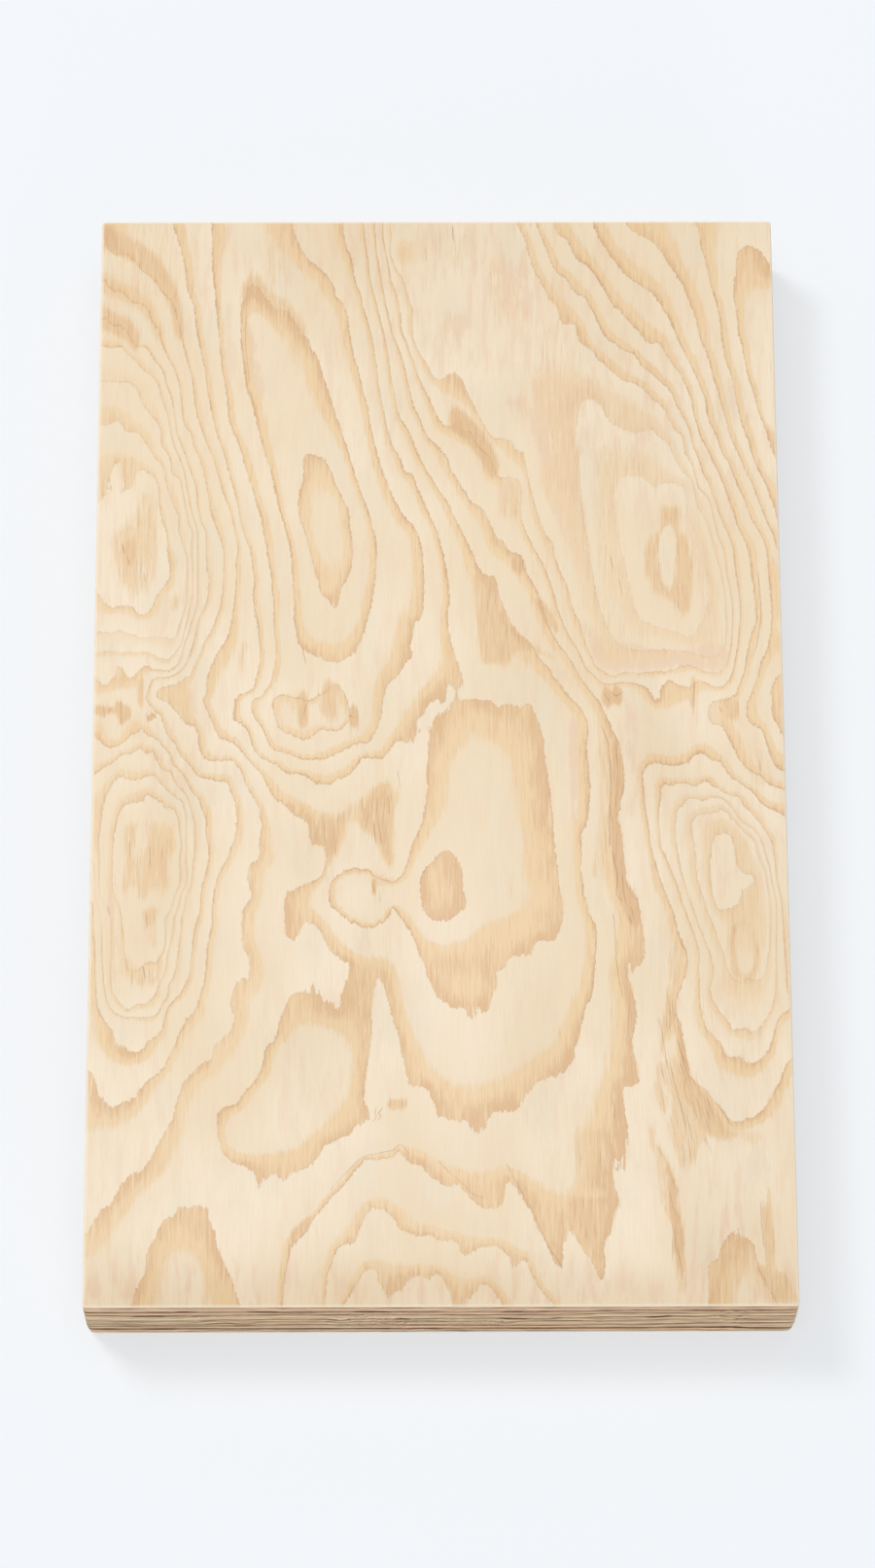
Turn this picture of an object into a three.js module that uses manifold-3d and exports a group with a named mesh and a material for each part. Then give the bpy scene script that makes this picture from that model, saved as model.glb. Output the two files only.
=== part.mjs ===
// A cut panel of softwood plywood: seven rotary-cut veneers glued with their grain crossed.
// Millimetres, +Z up. X is the panel's width, Y its length, and the face grain runs along Y.
// The origin is the middle of the underside.

import * as THREE from "three";
import * as BufferGeometryUtils from "three/addons/utils/BufferGeometryUtils.js";
import Module from "manifold-3d";

const wasm = await Module();
wasm.setup();

// ---- driving dimensions ----

const WIDTH = 120;
const LENGTH = 200;

// Each veneer's thickness at mid-width, from the face down. The core is laid from thinner peels.
const FACE_THICKNESS = 3.3;
const UPPER_CROSSBAND_THICKNESS = 2.15;
const UPPER_CORE_THICKNESS = 2.6;
const CENTRE_CROSSBAND_THICKNESS = 1.75;
const LOWER_CORE_THICKNESS = 2.5;
const LOWER_CROSSBAND_THICKNESS = 2.1;
const BACK_THICKNESS = 3;

// The cured glue between two veneers.
const GLUE_LINE = 0.1;

// How far the saw's corners are sanded: the upright corners, the upper arris and the lower arris.
const CORNER_RADIUS = 0.6;
const UPPER_ARRIS = 0.4;
const LOWER_ARRIS = 0.8;

// Columns along a wavy glue line are this far apart.
const COLUMN_STEP = 1;

// Segments in a quarter turn of a sanded corner.
const CORNER_SEGMENTS = 4;

// Blocks that are cut to size start this much oversize, so that no two faces coincide.
const OVERSIZE = 2;

// The veneers from the face down. `sway` is the path of the glue line under the veneer:
// [distance from mid-width, rise above its level], joined smoothly.
// The core veneers are strips laid edge to edge, so the inner glue lines step and bow where the
// strips lap and where a knot was pressed in. The paths are the same all along the length.
const VENEERS = [
  {
    name: "face_veneer",
    thickness: FACE_THICKNESS,
    colour: 0xf0dcba,
    sway: [[25.5, 0], [27.5, 0.6]],
  },
  {
    name: "upper_crossband",
    thickness: UPPER_CROSSBAND_THICKNESS,
    colour: 0xa37b57,
    sway: [[-56, -0.1], [-52, -0.6], [-40, -0.4], [-28, 0.15], [0, 0], [4, -0.2], [23, -0.1], [28, 0.9]],
  },
  {
    name: "upper_core_veneer",
    thickness: UPPER_CORE_THICKNESS,
    colour: 0xc3a078,
    sway: [
      [-60, -0.7], [-52, -1.3], [-40, -1], [-36.5, -0.35], [-34, -0.7], [-28, -0.1], [-19.5, 0],
      [-16.8, -1], [-14.5, 0], [-3, 0], [0.5, 0.45], [4, 0.15], [9, 0.4], [14, -0.15], [17.5, -0.1],
      [20.5, 0.55], [23, 0.3], [27, 0.9], [36, 1], [38.5, 1.6], [44, 1.2], [47, 2], [49, 1.4],
      [51, 1.9], [53, 1.5], [60, 1.3],
    ],
  },
  {
    name: "centre_crossband",
    thickness: CENTRE_CROSSBAND_THICKNESS,
    colour: 0xbc9870,
    sway: [
      [-60, -1.2], [-52, -1.75], [-40, -1.7], [-36.3, -0.7], [-33.5, -1.9], [-30, 0.05], [-19, 0],
      [-16.5, -0.8], [-14, 0], [8.5, 0.1], [11.5, -1], [14, 0.2], [27, 0.3], [36, 0.6], [38.5, 1.1],
      [44, 0.9], [47, 1.3], [49, 0.8], [51, 1.2], [53, 0.75],
    ],
  },
  {
    name: "lower_core_veneer",
    thickness: LOWER_CORE_THICKNESS,
    colour: 0xab845c,
    sway: [[-60, -0.2], [-35, -0.1], [-30, 0.55], [0, 0.3], [12, -0.1], [36, 0.3], [45, 1.1]],
  },
  {
    name: "lower_crossband",
    thickness: LOWER_CROSSBAND_THICKNESS,
    colour: 0xc19c78,
    sway: [[-60, 0.15], [-20, 0], [30, 0.1], [40, 0.4], [50, 0.45], [53, -0.2]],
  },
  {
    name: "back_veneer",
    thickness: BACK_THICKNESS,
    colour: 0xb8905f,
    sway: [],
  },
];

const GLUE_COUNT = VENEERS.length - 1;
const THICKNESS = VENEERS.reduce((sum, veneer) => sum + veneer.thickness, GLUE_COUNT * GLUE_LINE);
const WOOD_ROUGHNESS = 0.75;

// ---- solids ----

// The closed manifold solid of a three.js geometry.
function solidOf(geometry) {
  const bare = geometry.clone();
  bare.deleteAttribute("normal");
  bare.deleteAttribute("uv");
  const merged = BufferGeometryUtils.mergeVertices(bare, 1e-5);
  const vertProperties = new Float32Array(merged.attributes.position.array);
  const triVerts = new Uint32Array(merged.index.array);
  return new wasm.Manifold(new wasm.Mesh({ numProp: 3, vertProperties, triVerts }));
}

// The three.js geometry of a manifold solid, with its flat faces shaded flat.
function geometryOf(solid) {
  const { vertProperties, triVerts } = solid.getMesh();
  const geometry = new THREE.BufferGeometry();
  geometry.setAttribute("position", new THREE.BufferAttribute(vertProperties, 3));
  geometry.setIndex(new THREE.BufferAttribute(triVerts, 1));
  return BufferGeometryUtils.toCreasedNormals(geometry, Math.PI / 6);
}

// A closed extrusion of a shape, centred on its own length.
function extrusion(shape, length) {
  const settings = { depth: length, bevelEnabled: false, curveSegments: CORNER_SEGMENTS };
  return new THREE.ExtrudeGeometry(shape, settings).translate(0, 0, -length / 2);
}

// A rectangle on mid-width whose lower and upper corners have their own radii.
function roundedRectangle(width, bottom, top, lowerRadius, upperRadius) {
  const half = width / 2;
  const shape = new THREE.Shape();
  shape.moveTo(-half + lowerRadius, bottom);
  shape.lineTo(half - lowerRadius, bottom);
  shape.absarc(half - lowerRadius, bottom + lowerRadius, lowerRadius, -Math.PI / 2, 0);
  shape.lineTo(half, top - upperRadius);
  shape.absarc(half - upperRadius, top - upperRadius, upperRadius, 0, Math.PI / 2);
  shape.lineTo(-half + upperRadius, top);
  shape.absarc(-half + upperRadius, top - upperRadius, upperRadius, Math.PI / 2, Math.PI);
  shape.lineTo(-half, bottom + lowerRadius);
  shape.absarc(-half + lowerRadius, bottom + lowerRadius, lowerRadius, Math.PI, Math.PI * 1.5);
  return shape;
}

// The whole panel's outer form: its plan and its two cross sections, sanded, met in one block.
function panelBlock() {
  const plan = roundedRectangle(WIDTH, -LENGTH / 2, LENGTH / 2, CORNER_RADIUS, CORNER_RADIUS);
  const across = roundedRectangle(WIDTH, 0, THICKNESS, LOWER_ARRIS, UPPER_ARRIS);
  const along = roundedRectangle(LENGTH, 0, THICKNESS, LOWER_ARRIS, UPPER_ARRIS);
  const planBlock = extrusion(plan, 2 * (THICKNESS + OVERSIZE));
  const acrossBlock = extrusion(across, LENGTH + OVERSIZE).rotateX(Math.PI / 2);
  const alongBlock = extrusion(along, WIDTH + OVERSIZE).rotateX(Math.PI / 2).rotateZ(Math.PI / 2);
  return solidOf(planBlock).intersect(solidOf(acrossBlock)).intersect(solidOf(alongBlock));
}

// ---- glue lines ----

// How far a glue line has risen above its level at x: level beyond its ends, smooth between.
function riseAt(sway, x) {
  const next = sway.findIndex(([place]) => place > x);
  if (next === -1) return sway.length ? sway.at(-1)[1] : 0;
  if (next === 0) return sway[0][1];
  const [fromX, fromRise] = sway[next - 1];
  const [toX, toRise] = sway[next];
  return THREE.MathUtils.lerp(fromRise, toRise, THREE.MathUtils.smoothstep(x, fromX, toX));
}

// The places across the width where a line is drawn, past both edges of the panel.
function columnsAcross() {
  const span = WIDTH + OVERSIZE;
  const count = Math.ceil(span / COLUMN_STEP);
  return Array.from({ length: count + 1 }, (_, i) => -span / 2 + (i * span) / count);
}

// Points along one side of a glue line, from left to right. A straight line has only its ends.
function linePoints(level, sway) {
  const columns = columnsAcross();
  const drawn = sway.length ? columns : [columns[0], columns.at(-1)];
  return drawn.map((x) => new THREE.Vector2(x, level + riseAt(sway, x)));
}

// One veneer: its section between two glue lines, run along the length and sawn with the panel.
function veneerSolid(topLine, bottomLine, block) {
  const section = new THREE.Shape([...bottomLine, ...topLine.toReversed()]);
  const strip = extrusion(section, LENGTH + OVERSIZE).rotateX(Math.PI / 2);
  return solidOf(strip).intersect(block);
}

// ---- the panel ----

function buildPanel() {
  const panel = new THREE.Group();
  panel.name = "plywood_panel";
  const block = panelBlock();
  let top = THICKNESS;
  let swayAbove = [];
  VENEERS.forEach(({ name, thickness, colour, sway }, index) => {
    const bottom = top - thickness;
    const isFace = index === 0;
    const isBack = index === GLUE_COUNT;
    const topLine = linePoints(isFace ? top + OVERSIZE : top, swayAbove);
    const bottomLine = linePoints(isBack ? bottom - OVERSIZE : bottom, sway);
    const material = new THREE.MeshStandardMaterial({
      color: colour,
      roughness: WOOD_ROUGHNESS,
      metalness: 0,
    });
    const mesh = new THREE.Mesh(geometryOf(veneerSolid(topLine, bottomLine, block)), material);
    mesh.name = name;
    panel.add(mesh);
    top = bottom - GLUE_LINE;
    swayAbove = sway;
  });
  return panel;
}

export default buildPanel();
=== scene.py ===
"""Plywood sheet: a rotary-cut pine face, seven plies with dark glue lines, and a plain back."""
import math

import bpy
import numpy as np
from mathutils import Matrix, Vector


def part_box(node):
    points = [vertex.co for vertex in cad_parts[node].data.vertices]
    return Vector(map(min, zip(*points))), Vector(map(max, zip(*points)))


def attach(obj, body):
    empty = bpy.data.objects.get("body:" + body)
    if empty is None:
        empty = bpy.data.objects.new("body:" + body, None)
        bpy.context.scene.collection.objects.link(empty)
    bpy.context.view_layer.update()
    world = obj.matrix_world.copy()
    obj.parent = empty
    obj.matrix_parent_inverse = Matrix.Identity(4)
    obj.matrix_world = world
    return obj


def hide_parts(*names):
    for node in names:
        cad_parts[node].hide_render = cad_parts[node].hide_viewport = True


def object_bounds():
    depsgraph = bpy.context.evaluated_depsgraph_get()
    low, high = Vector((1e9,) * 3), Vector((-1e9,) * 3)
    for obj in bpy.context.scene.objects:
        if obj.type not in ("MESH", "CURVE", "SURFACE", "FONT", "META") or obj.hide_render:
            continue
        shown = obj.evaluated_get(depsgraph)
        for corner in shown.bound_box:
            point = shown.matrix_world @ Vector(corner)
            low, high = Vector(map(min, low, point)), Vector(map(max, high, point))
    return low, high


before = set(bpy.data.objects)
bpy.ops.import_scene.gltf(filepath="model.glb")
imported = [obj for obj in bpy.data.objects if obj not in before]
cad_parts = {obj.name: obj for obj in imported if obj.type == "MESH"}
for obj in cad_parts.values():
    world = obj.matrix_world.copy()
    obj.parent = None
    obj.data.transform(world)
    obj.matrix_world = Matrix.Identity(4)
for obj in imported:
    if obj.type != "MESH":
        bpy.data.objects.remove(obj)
cad_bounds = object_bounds()

MM = 0.001
LOW, HIGH = (np.array(corner) / MM for corner in cad_bounds)
SIZE = HIGH[:2] - LOW[:2]  # across and along, in mm

# ---------------------------------------------------------------- annual rings of the face

# The face is a slice through curved growth layers, so its figure is a contour map of ring age.
# Each entry is (level, tone, share, course). On the side of a course where the age is just over
# the level the wood is pale; on the other side the dark latewood ends at a sharp line. Tone is
# how dark that latewood is, share how much of the ring's width it takes. A course is "x,y" pairs
# in photo pixels, and a level is a whole number of rings.
RINGS = [
    # Left half: two eyes at the left border and the oval between them and the middle.
    (0, 0.60, 0.42, """312,469 320,468 330,471 336,478 342,488 345,500 350,508 354,517 358,525 360,545
        362,562 362,576 360,588 354,599 349,611 347,623 342,626 339,619 335,616 330,610 327,600 324,589
        320,576 316,560 313,548 310,540 307,533 306,520 308,505 311,495 311,480 312,469"""),
    (1, 0.85, 0.30, """247,330 247,320 248,312 252,305 253,297 258,294 265,293 268,299 270,304 275,308
        280,316 285,320 294,319 300,327 305,334 310,343 316,350 320,360 326,368 329,378 333,390 336,400
        340,410 343,420 345,428 350,440 354,455 358,465 362,480 366,492 370,505 376,520 380,532 383,543
        386,555 387,570 386,590 385,600 382,620 379,632 375,645 371,658 367,667 362,673 356,677 350,681
        341,681 334,679 325,675 316,670 311,669 306,661 304,651 302,639 302,624 301,605 300,590 299,576
        297,560 293,545 288,530 283,510 279,490 273,470 270,460 266,445 262,430 257,410 253,400 251,385
        249,370 247,350 247,330"""),
    (1, 0.55, 0.30, """280,721 290,714 300,717 310,718 315,721 322,718 330,713 337,708 345,702 350,707
        355,716 358,726 360,737 359,742 354,746 350,751 342,752 332,751 326,753 321,758 315,762 306,760
        299,756 291,753 285,746 281,734 280,721"""),
    (2, 0.75, 0.25, "217,231 218,253 218,278 220,297 222,322 224,341 226,363 228,382 231,397"),
    (2, 0.75, 0.34, """231,397 233,411 234,427 238,443 244,456 249,470 253,485 258,500 262,515 267,530
        270,545 273,560 275,576 278,589 279,605 281,624 281,643 282,659 283,671 282,683 280,691 279,700
        275,706 270,714 265,718 259,720 258,728 261,738 267,746 272,756 276,766 280,771 290,774 300,777
        307,780 315,781 327,781 339,779 345,776 351,773 357,770 364,766 370,765 376,765 380,763 384,756
        388,748 392,735 394,720 397,708 401,700 407,697 414,687 417,680 422,678 424,672 421,665 424,655
        426,640 431,638 434,633 435,620 436,600 435,580 433,563 430,552 425,541 416,533 409,520 402,508
        397,495 391,478 386,460 381,440 379,425 375,408 370,388 365,372 362,358 359,340 357,325 353,315
        348,308 345,305 342,293 336,284 328,276 318,268 308,255 303,240 300,231"""),
    (3, 0.80, 0.32, """177,231 181,244 186,259 190,278 192,297 195,307 199,317 201,337 203,348 207,366
        211,388 212,400 216,418 219,434 224,452 229,465 232,478 236,492 241,508 244,523 247,538 251,552
        256,565 258,574 259,586 261,599 259,611 261,624 262,634 265,646 266,661 267,678 265,689 262,700
        259,709 252,713 246,715 241,720 241,728 239,739 244,743 249,746 254,753 257,760 259,769 264,775
        269,780 277,784 284,787 290,793 296,796 305,796 311,797 317,801 325,806 332,808 339,807 345,803
        350,800 357,799 362,794 366,789 371,782 375,779 380,780 389,781 395,778 399,774 404,766 408,762
        412,763 417,765 423,766 424,758 430,752 428,745 432,737 437,733 442,723 449,720 455,723 459,712
        460,705 464,704 470,711 474,707 475,700 471,685 467,672 463,660 461,645 460,632 462,620 461,600
        459,590 457,575 453,560 451,552 447,541 441,530 436,517 430,505 427,495 423,487 416,486 412,475
        407,464 402,457 399,445 396,432 394,420 391,408 388,385 386,370 384,357 381,342 377,328 373,315
        370,302 366,292 363,280 361,267 357,256 354,245 352,231"""),
    (4, 0.85, 0.22, """104,245 107,249 116,263 130,264 136,269 146,280 160,291 167,303 177,314 182,332
        187,353 192,372 197,391"""),
    (4, 0.85, 0.36, """197,391 199,409 201,423 206,440 212,457 219,473 224,490 229,508 234,520 239,539
        242,554 244,566 242,578 242,597 241,615 239,628 237,640 234,654 227,666 222,673 219,680 215,690
        212,699 212,709 211,715 208,720 211,729 216,740 220,750 225,759 232,762 241,766 247,772 254,781
        261,789 267,795 272,804 277,812 281,821 287,825 294,829 300,836 307,841 315,846 318,856 319,866
        325,870 331,870 334,876 335,885 333,893 331,900 325,905 317,908 310,911 302,915 296,917 293,924
        292,938 292,950 294,962 302,967 307,958 312,951 318,949 323,951 329,958 335,970 342,980 350,987
        356,990 360,993 358,1001 356,1010 353,1016 351,1026 350,1035 346,1038 344,1032 334,1030 329,1025
        324,1013 319,1021 305,1021 299,1025 295,1031 291,1041 287,1051 285,1061 281,1070 274,1077 271,1086
        269,1096 265,1106 260,1115 253,1121 247,1130 242,1136 232,1138 226,1142 223,1150 224,1165 226,1178
        231,1188 240,1196 250,1199 258,1205 262,1214 265,1223 268,1215 275,1210 281,1206 288,1211 295,1213
        299,1207 305,1206 313,1202 319,1199 323,1194 328,1189 331,1182 335,1177 340,1176 346,1172 353,1170
        360,1167 364,1160 368,1156 374,1155 379,1151 378,1147 377,1140 374,1130 375,1118 376,1105 378,1090
        380,1075 382,1060 382,1040 383,1025 384,1015 387,1009 390,1009 394,1012 396,1020 399,1030 402,1042
        404,1052 409,1063 411,1075 414,1087 417,1100 420,1110 422,1117 430,1118 438,1120 443,1126 446,1134
        449,1142 452,1150 456,1149 462,1151 470,1153 478,1152 483,1155 485,1160 488,1166 490,1167 492,1164
        495,1160 498,1160 500,1155 502,1150 507,1145 515,1143 523,1144 530,1142 535,1137 539,1130 543,1124
        547,1121 549,1116 555,1112 562,1110 567,1107 572,1109 574,1104 582,1102 586,1096 590,1090 591,1080
        594,1072 597,1060 598,1052 601,1045 603,1036 606,1030 609,1023 611,1010 612,995 613,980 614,965
        613,952 609,946 605,938 603,928 600,918 599,905 597,893 598,880 598,865 599,853 603,850 605,838
        606,825 607,812 606,800 606,790 604,780 603,770 604,760 605,750 604,742 601,735 596,728 591,722
        585,716 580,710 575,703 569,695 564,687 559,682 554,676 549,668 544,660 538,655 532,650 526,642
        522,635 518,625 514,615 512,605 511,597 507,593 500,592 494,587 489,578 486,570 482,562 478,553
        474,545 470,537 466,530 463,523 459,515 454,508 448,500 443,490 439,486 434,477 430,467 427,462
        424,453 420,444 416,436 411,430 408,420 406,410 405,402 402,390 400,375 398,360 396,350 394,340
        391,329 388,318 386,308 383,297 380,285 379,272 377,260 375,245 374,231"""),
    (5, 0.70, 0.22, """106,290 111,296 116,301 125,302 131,308 136,313 142,313 151,319 155,331 161,339
        166,354 169,363 176,376 181,387 184,399 186,417 187,430"""),
    (5, 0.60, 0.32, """187,430 190,439 197,448 198,459 205,473 209,488 213,508 215,523 221,542 226,555
        229,570 229,593 228,609 226,624 222,636 216,650 210,660 205,673 200,683 197,691 195,695 189,698
        180,704 170,706 162,709 160,714 162,720 167,721 172,723 177,729 182,735 187,741 192,745 200,748
        203,756 204,769 206,775 210,781 217,783 230,783 240,783 244,789 249,797 251,806 256,815 262,824
        266,830 266,840 269,850 267,860 266,869 267,880 264,886 258,887 254,894 254,901 256,911 258,919
        257,925 252,931 249,938 248,945 248,957 249,973 252,978 256,988 257,1000 256,1007 249,1007 244,1011
        240,1014 239,1023 237,1032 239,1040 241,1047 239,1053 237,1061 232,1063 225,1071 220,1076 217,1086
        215,1091 206,1095 200,1101 194,1107 187,1115 185,1123 181,1134 179,1143 176,1152 172,1158 165,1172
        160,1179 157,1188 151,1196 147,1202 142,1208 136,1206 132,1212 127,1214 124,1219 119,1228 115,1237
        110,1241 105,1243 100,1249 96,1258 91,1264 86,1272"""),
    (6, 0.70, 0.22, """105,328 111,332 116,336 122,336 130,342 134,351 140,357 149,358 155,366 160,374
        167,383 170,396 174,406 177,417 179,433 181,448"""),
    (6, 0.60, 0.34, """181,448 186,459 191,473 196,488 201,504 202,520 206,538 211,550 211,567 212,585
        214,599 212,618 207,630 203,640 200,654 196,669 192,678 189,685 184,690 177,695 171,697 161,697
        156,700 152,709 150,719 154,726 159,733 164,735 167,743 170,753 175,760 180,767 184,776 189,782
        196,789 200,796 203,799 211,800 219,803 226,804 232,803 235,810 239,820 242,830 243,844 242,854
        240,865 236,875 232,886 227,894 224,901 221,911 219,922 217,937 217,951 214,966 212,980 211,996
        209,1011 205,1023 202,1036 197,1043 191,1048 187,1058 182,1066 179,1076 174,1085 170,1093 166,1100
        160,1106 151,1111 147,1117 142,1123 135,1131 130,1132 125,1134 117,1139 112,1138 107,1132 100,1123
        99,1112 95,1107 90,1099"""),
    (7, 0.60, 0.36, """106,356 111,359 125,358 129,364 137,371 147,381 156,388 162,396 165,409 169,420
        173,434 175,448 180,464 186,478 189,490 192,508 196,529 201,543 202,560 202,585 202,599 201,624
        196,639 191,655 187,668 184,680 179,686 171,690 165,689 157,689 151,685 146,686 140,693 137,697
        131,696 124,686 121,685 117,696 110,703 106,706 101,701 98,694"""),
    (7, 0.75, 0.36, """97,755 100,761 105,765 110,769 117,769 126,765 134,757 142,754 146,749 150,757
        155,759 160,760 164,765 167,769 171,773 175,779 176,786 180,790 184,794 188,798 191,804 194,809
        196,815 200,818 204,823 206,831 209,838 211,843 211,856 213,869 214,881 212,894 209,905 206,919
        205,935 204,941 199,957 197,976 195,991 194,1003 189,1013 185,1022 179,1028 172,1037 169,1046
        167,1055 164,1062 157,1068 150,1073 145,1081 140,1081 134,1082 130,1077 126,1072 120,1078 117,1065
        114,1058 109,1052 104,1043 101,1036 99,1020 98,1001 98,980 97,960 96,940 95,925 94,905 92,890"""),
    (8, 0.22, 0.36, "104,394 120,394 134,394 141,403 147,417 154,428"),
    (8, 0.50, 0.36, """154,428 161,435 165,445 165,458 170,465 174,473 176,488 184,493 187,508 190,523
        193,539 197,548 196,563 197,585 197,593 197,608 194,624 191,640 187,656 184,666 177,673 172,678
        166,678 160,674 151,671 140,671 127,671 111,670 98,671"""),
    (8, 0.55, 0.36, """97,797 101,794 109,789 116,784 124,778 130,775 136,776 140,772 145,769 149,777
        155,774 158,773 159,779 162,786 165,791 168,794 172,793 175,794 176,799 179,805 181,808 184,812
        186,814 189,816 192,822 194,828 196,835 198,844 199,851 199,875 197,894 195,912 190,922 189,933
        186,942 185,957 183,976 180,996 177,1006 172,1013 172,1023 167,1032 160,1043 155,1046 140,1046
        126,1045 117,1040 111,1032 108,1018 106,1000 105,980 104.5,950"""),
    (8, 0.10, 0.30, "104.5,950 103,938 100,928 94,920 88,915"),
    (9, 0.50, 0.38, """104,438 110,438 121,433 129,445 136,445 144,448 150,457 156,467 161,474 167,480
        169,493 173,508 177,519 183,533 182,545 186,558 191,573 192,585 191,605 191,621 188,630 185,639
        181,651"""),
    (9, 0.15, 0.38, "181,651 179,656 170,656 160,655 152,656 140,655 130,651 121,649 111,651 99,651"),
    (9, 0.10, 0.30, "115,945 112,935 106,927 103,918 102,910"),
    (9, 0.50, 0.38, """102,910 102,868 103,854 105,840 106,830 110,817 114,809 117,804 122,799 127,800
        136,803 146,801 152,798 156,797 161,800 164,806 169,811 172,814 176,816 178,820 181,822 186,824
        188,831 190,838 190,846 190,881 191,905 185,920 182,933 178,945 177,957 174,970 171,982 170,995
        167,1003 162,1013 160,1021 155,1027 150,1033 140,1033 135,1036 131,1040 126,1035 121,1028 116,1022
        114,1013 114,1001 114,988 115,963 115,945"""),
    (10, 0.50, 0.24, """96,518 102,513 109,507 113,493 117,484 123,475 125,478 127,493 131,507 136,498
        140,488 145,483 150,487 157,490 162,500 163,517 165,529 167,539 171,550 172,573 174,584 173,596
        166,606 161,611 157,623 151,631 147,633 140,630 135,624 112,624 107,620 103,614 99,607 95,600"""),
    (10, 0.10, 0.30, "124,937 121,928 117,920 115,912"),
    (10, 0.50, 0.40, """115,912 116,868 118,856 120,845 122,837 125,832 130,827 136,826 146,825 148,820
        152,817 154,819 158,822 164,824 167,829 171,831 178,833 179,836 181,838 183,846 184,857 186,871
        184,881 184,894 184,907 179,921 174,936 171,941 169,948 169,970 166,981 161,990 155,988 149,991
        142,997 134,998 132,998 130,988 128,976 127,963 125,945 124,937"""),
    (4, 0.80, 0.45, """133,1345 140,1325 149,1308 150,1293 154,1281 159,1276 161,1268 164,1261 167,1256
        172,1252 180,1251 182,1244 186,1240 192,1241 200,1241 210,1241 214,1243 215,1252 216,1259 220,1266
        222,1277 225,1289 232,1303 236,1310 240,1322 245,1338 247,1345"""),
    # Middle: the big shape with its lobe at the left, and the brown oval inside it.
    (3, 0.70, 0.22, """405,907 398,906 390,903 383,900 380,895 373,894 360,894 349,899 342,905 338,915
        339,930 346,937 355,945 365,950 373,954 385,954 390,951 399,944 402,937 404,933 407,938"""),
    (3, 0.85, 0.42, """407,938 412,945 417,952 422,960 427,970 430,980 435,990 438,1000 441,1008 444,1015
        447,1022 452,1028 458,1031 465,1036 472,1037 478,1039 481,1046 484,1050 487,1046 488,1038 491,1033
        494,1036 498,1041 502,1038 504,1030 507,1022 510,1015 511,1008 510,1002 514,998 519,995 521,988
        524,985 532,983 540,982 545,982 548,975 551,969 556,967 562,968 568,969 571,966 575,958 578,950
        579,940 579,930 577,920 575,910 573,895 572,880 570,865 569,850 568,835 566,820 564,805 563,795
        561,785 560,775 559,762 556,750 553,740 550,733 547,727 543,723 538,727 530,727 524,725 517,726
        510,727 505,720 495,721 485,720 475,720 472,716 468,718 463,726 457,735 451,732 447,738 444,745
        441,755 440,765 440,780 438,800 440,810 437,825 435,840 430,855 423,870 419,885 413,900 405,907"""),
    (2, 0.95, 0.55, """456,876 464,877 469,882 473,889 475,900 476,912 478,922 480,928 477,935 470,940
        464,945 456,947 448,947 441,944 436,938 433,930 432,918 432,905 435,897 440,890 446,885 450,879
        456,876"""),
    # Right half, from the top right corner inwards.
    (1, 0.85, 0.32, """799,477 797,470 793,460 790,450 787,440 783,430 779,420 777,412 775,403 772,395
        769,385 766,372 764,362 762,352 759,340 758,328 757,318 755,308 754,300 755,290 757,280 757,270
        758,262 761,257 766,253 771,252 777,254 783,259 788,266 791,273 794,280"""),
    (2, 0.90, 0.42, """716,231 719,240 720,250 722,258 725,268 728,278 730,290 733,300 737,312 739,322
        741,335 742,348 744,360 746,370 750,380 753,390 755,400 757,412 760,425 763,437 767,447 771,458
        774,470 777,477 782,487 787,497 790,505 793,514 797,525 800,537"""),
    (3, 0.85, 0.44, """644,232 648,236 654,240 660,243 666,246 672,249 677,256 682,262 687,270 692,278
        697,286 702,294 706,303 710,313 714,323 717,335 720,347 724,357 728,367 731,378 734,390 738,402
        741,413 746,430 749,442 752,452 757,462 762,473 767,485 772,495 776,503 780,515 784,525 788,535
        793,545 796,555 800,567"""),
    (4, 0.95, 0.44, """610,232 615,243 620,252 627,262 634,271 640,280 648,286 655,291 660,295 667,299
        673,304 678,311 683,320 688,328 692,337 696,346 700,355 705,366 710,375 715,385 719,395 723,405
        726,415 727,425 730,435 735,445 739,455 743,467 749,476 752,483 755,490 758,498 761,505 765,513
        769,522 771,530 775,538 780,545 784,553 787,560 789,570 790,585 791,600 793,615 794,630 793,645
        791,660 788,670 784,677 781,687 779,697 776,705 772,715 769,722 768,730 769,738 773,745 778,748
        783,750 786,756 789,765 792,775 795,784 800,790 807,795"""),
    (3, 0.85, 0.60, "803,693 799,697 796,703 793,710 794,722 794,732 796,740 800,745 803,752 806,758"),
    (5, 0.85, 0.42, """570,233 575,242 583,247 589,260 594,268 600,270 607,277 613,285 620,296 625,305
        631,315 638,320 645,328 650,335 655,340 660,346 663,351 667,353 673,353 678,351 681,357 685,365
        690,372 696,380 701,387 704,394 708,403 711,413 713,425 716,435 719,445 723,455 728,463 732,472
        736,481 740,489 744,498 747,507 750,515 753,525 756,533 759,542 763,550 767,558 770,568 772,578
        773,590 775,603 776,615 777,625 778,637 775,647 772,655 770,663 768,672 767,682 765,692 762,700
        759,707 757,714 752,717 745,719 740,720 735,721 730,725 728,732 729,738 732,744 738,746 743,748
        748,757 752,765 756,773 760,781 765,788 772,794 780,797 785,800 791,806 798,810 807,812"""),
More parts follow.
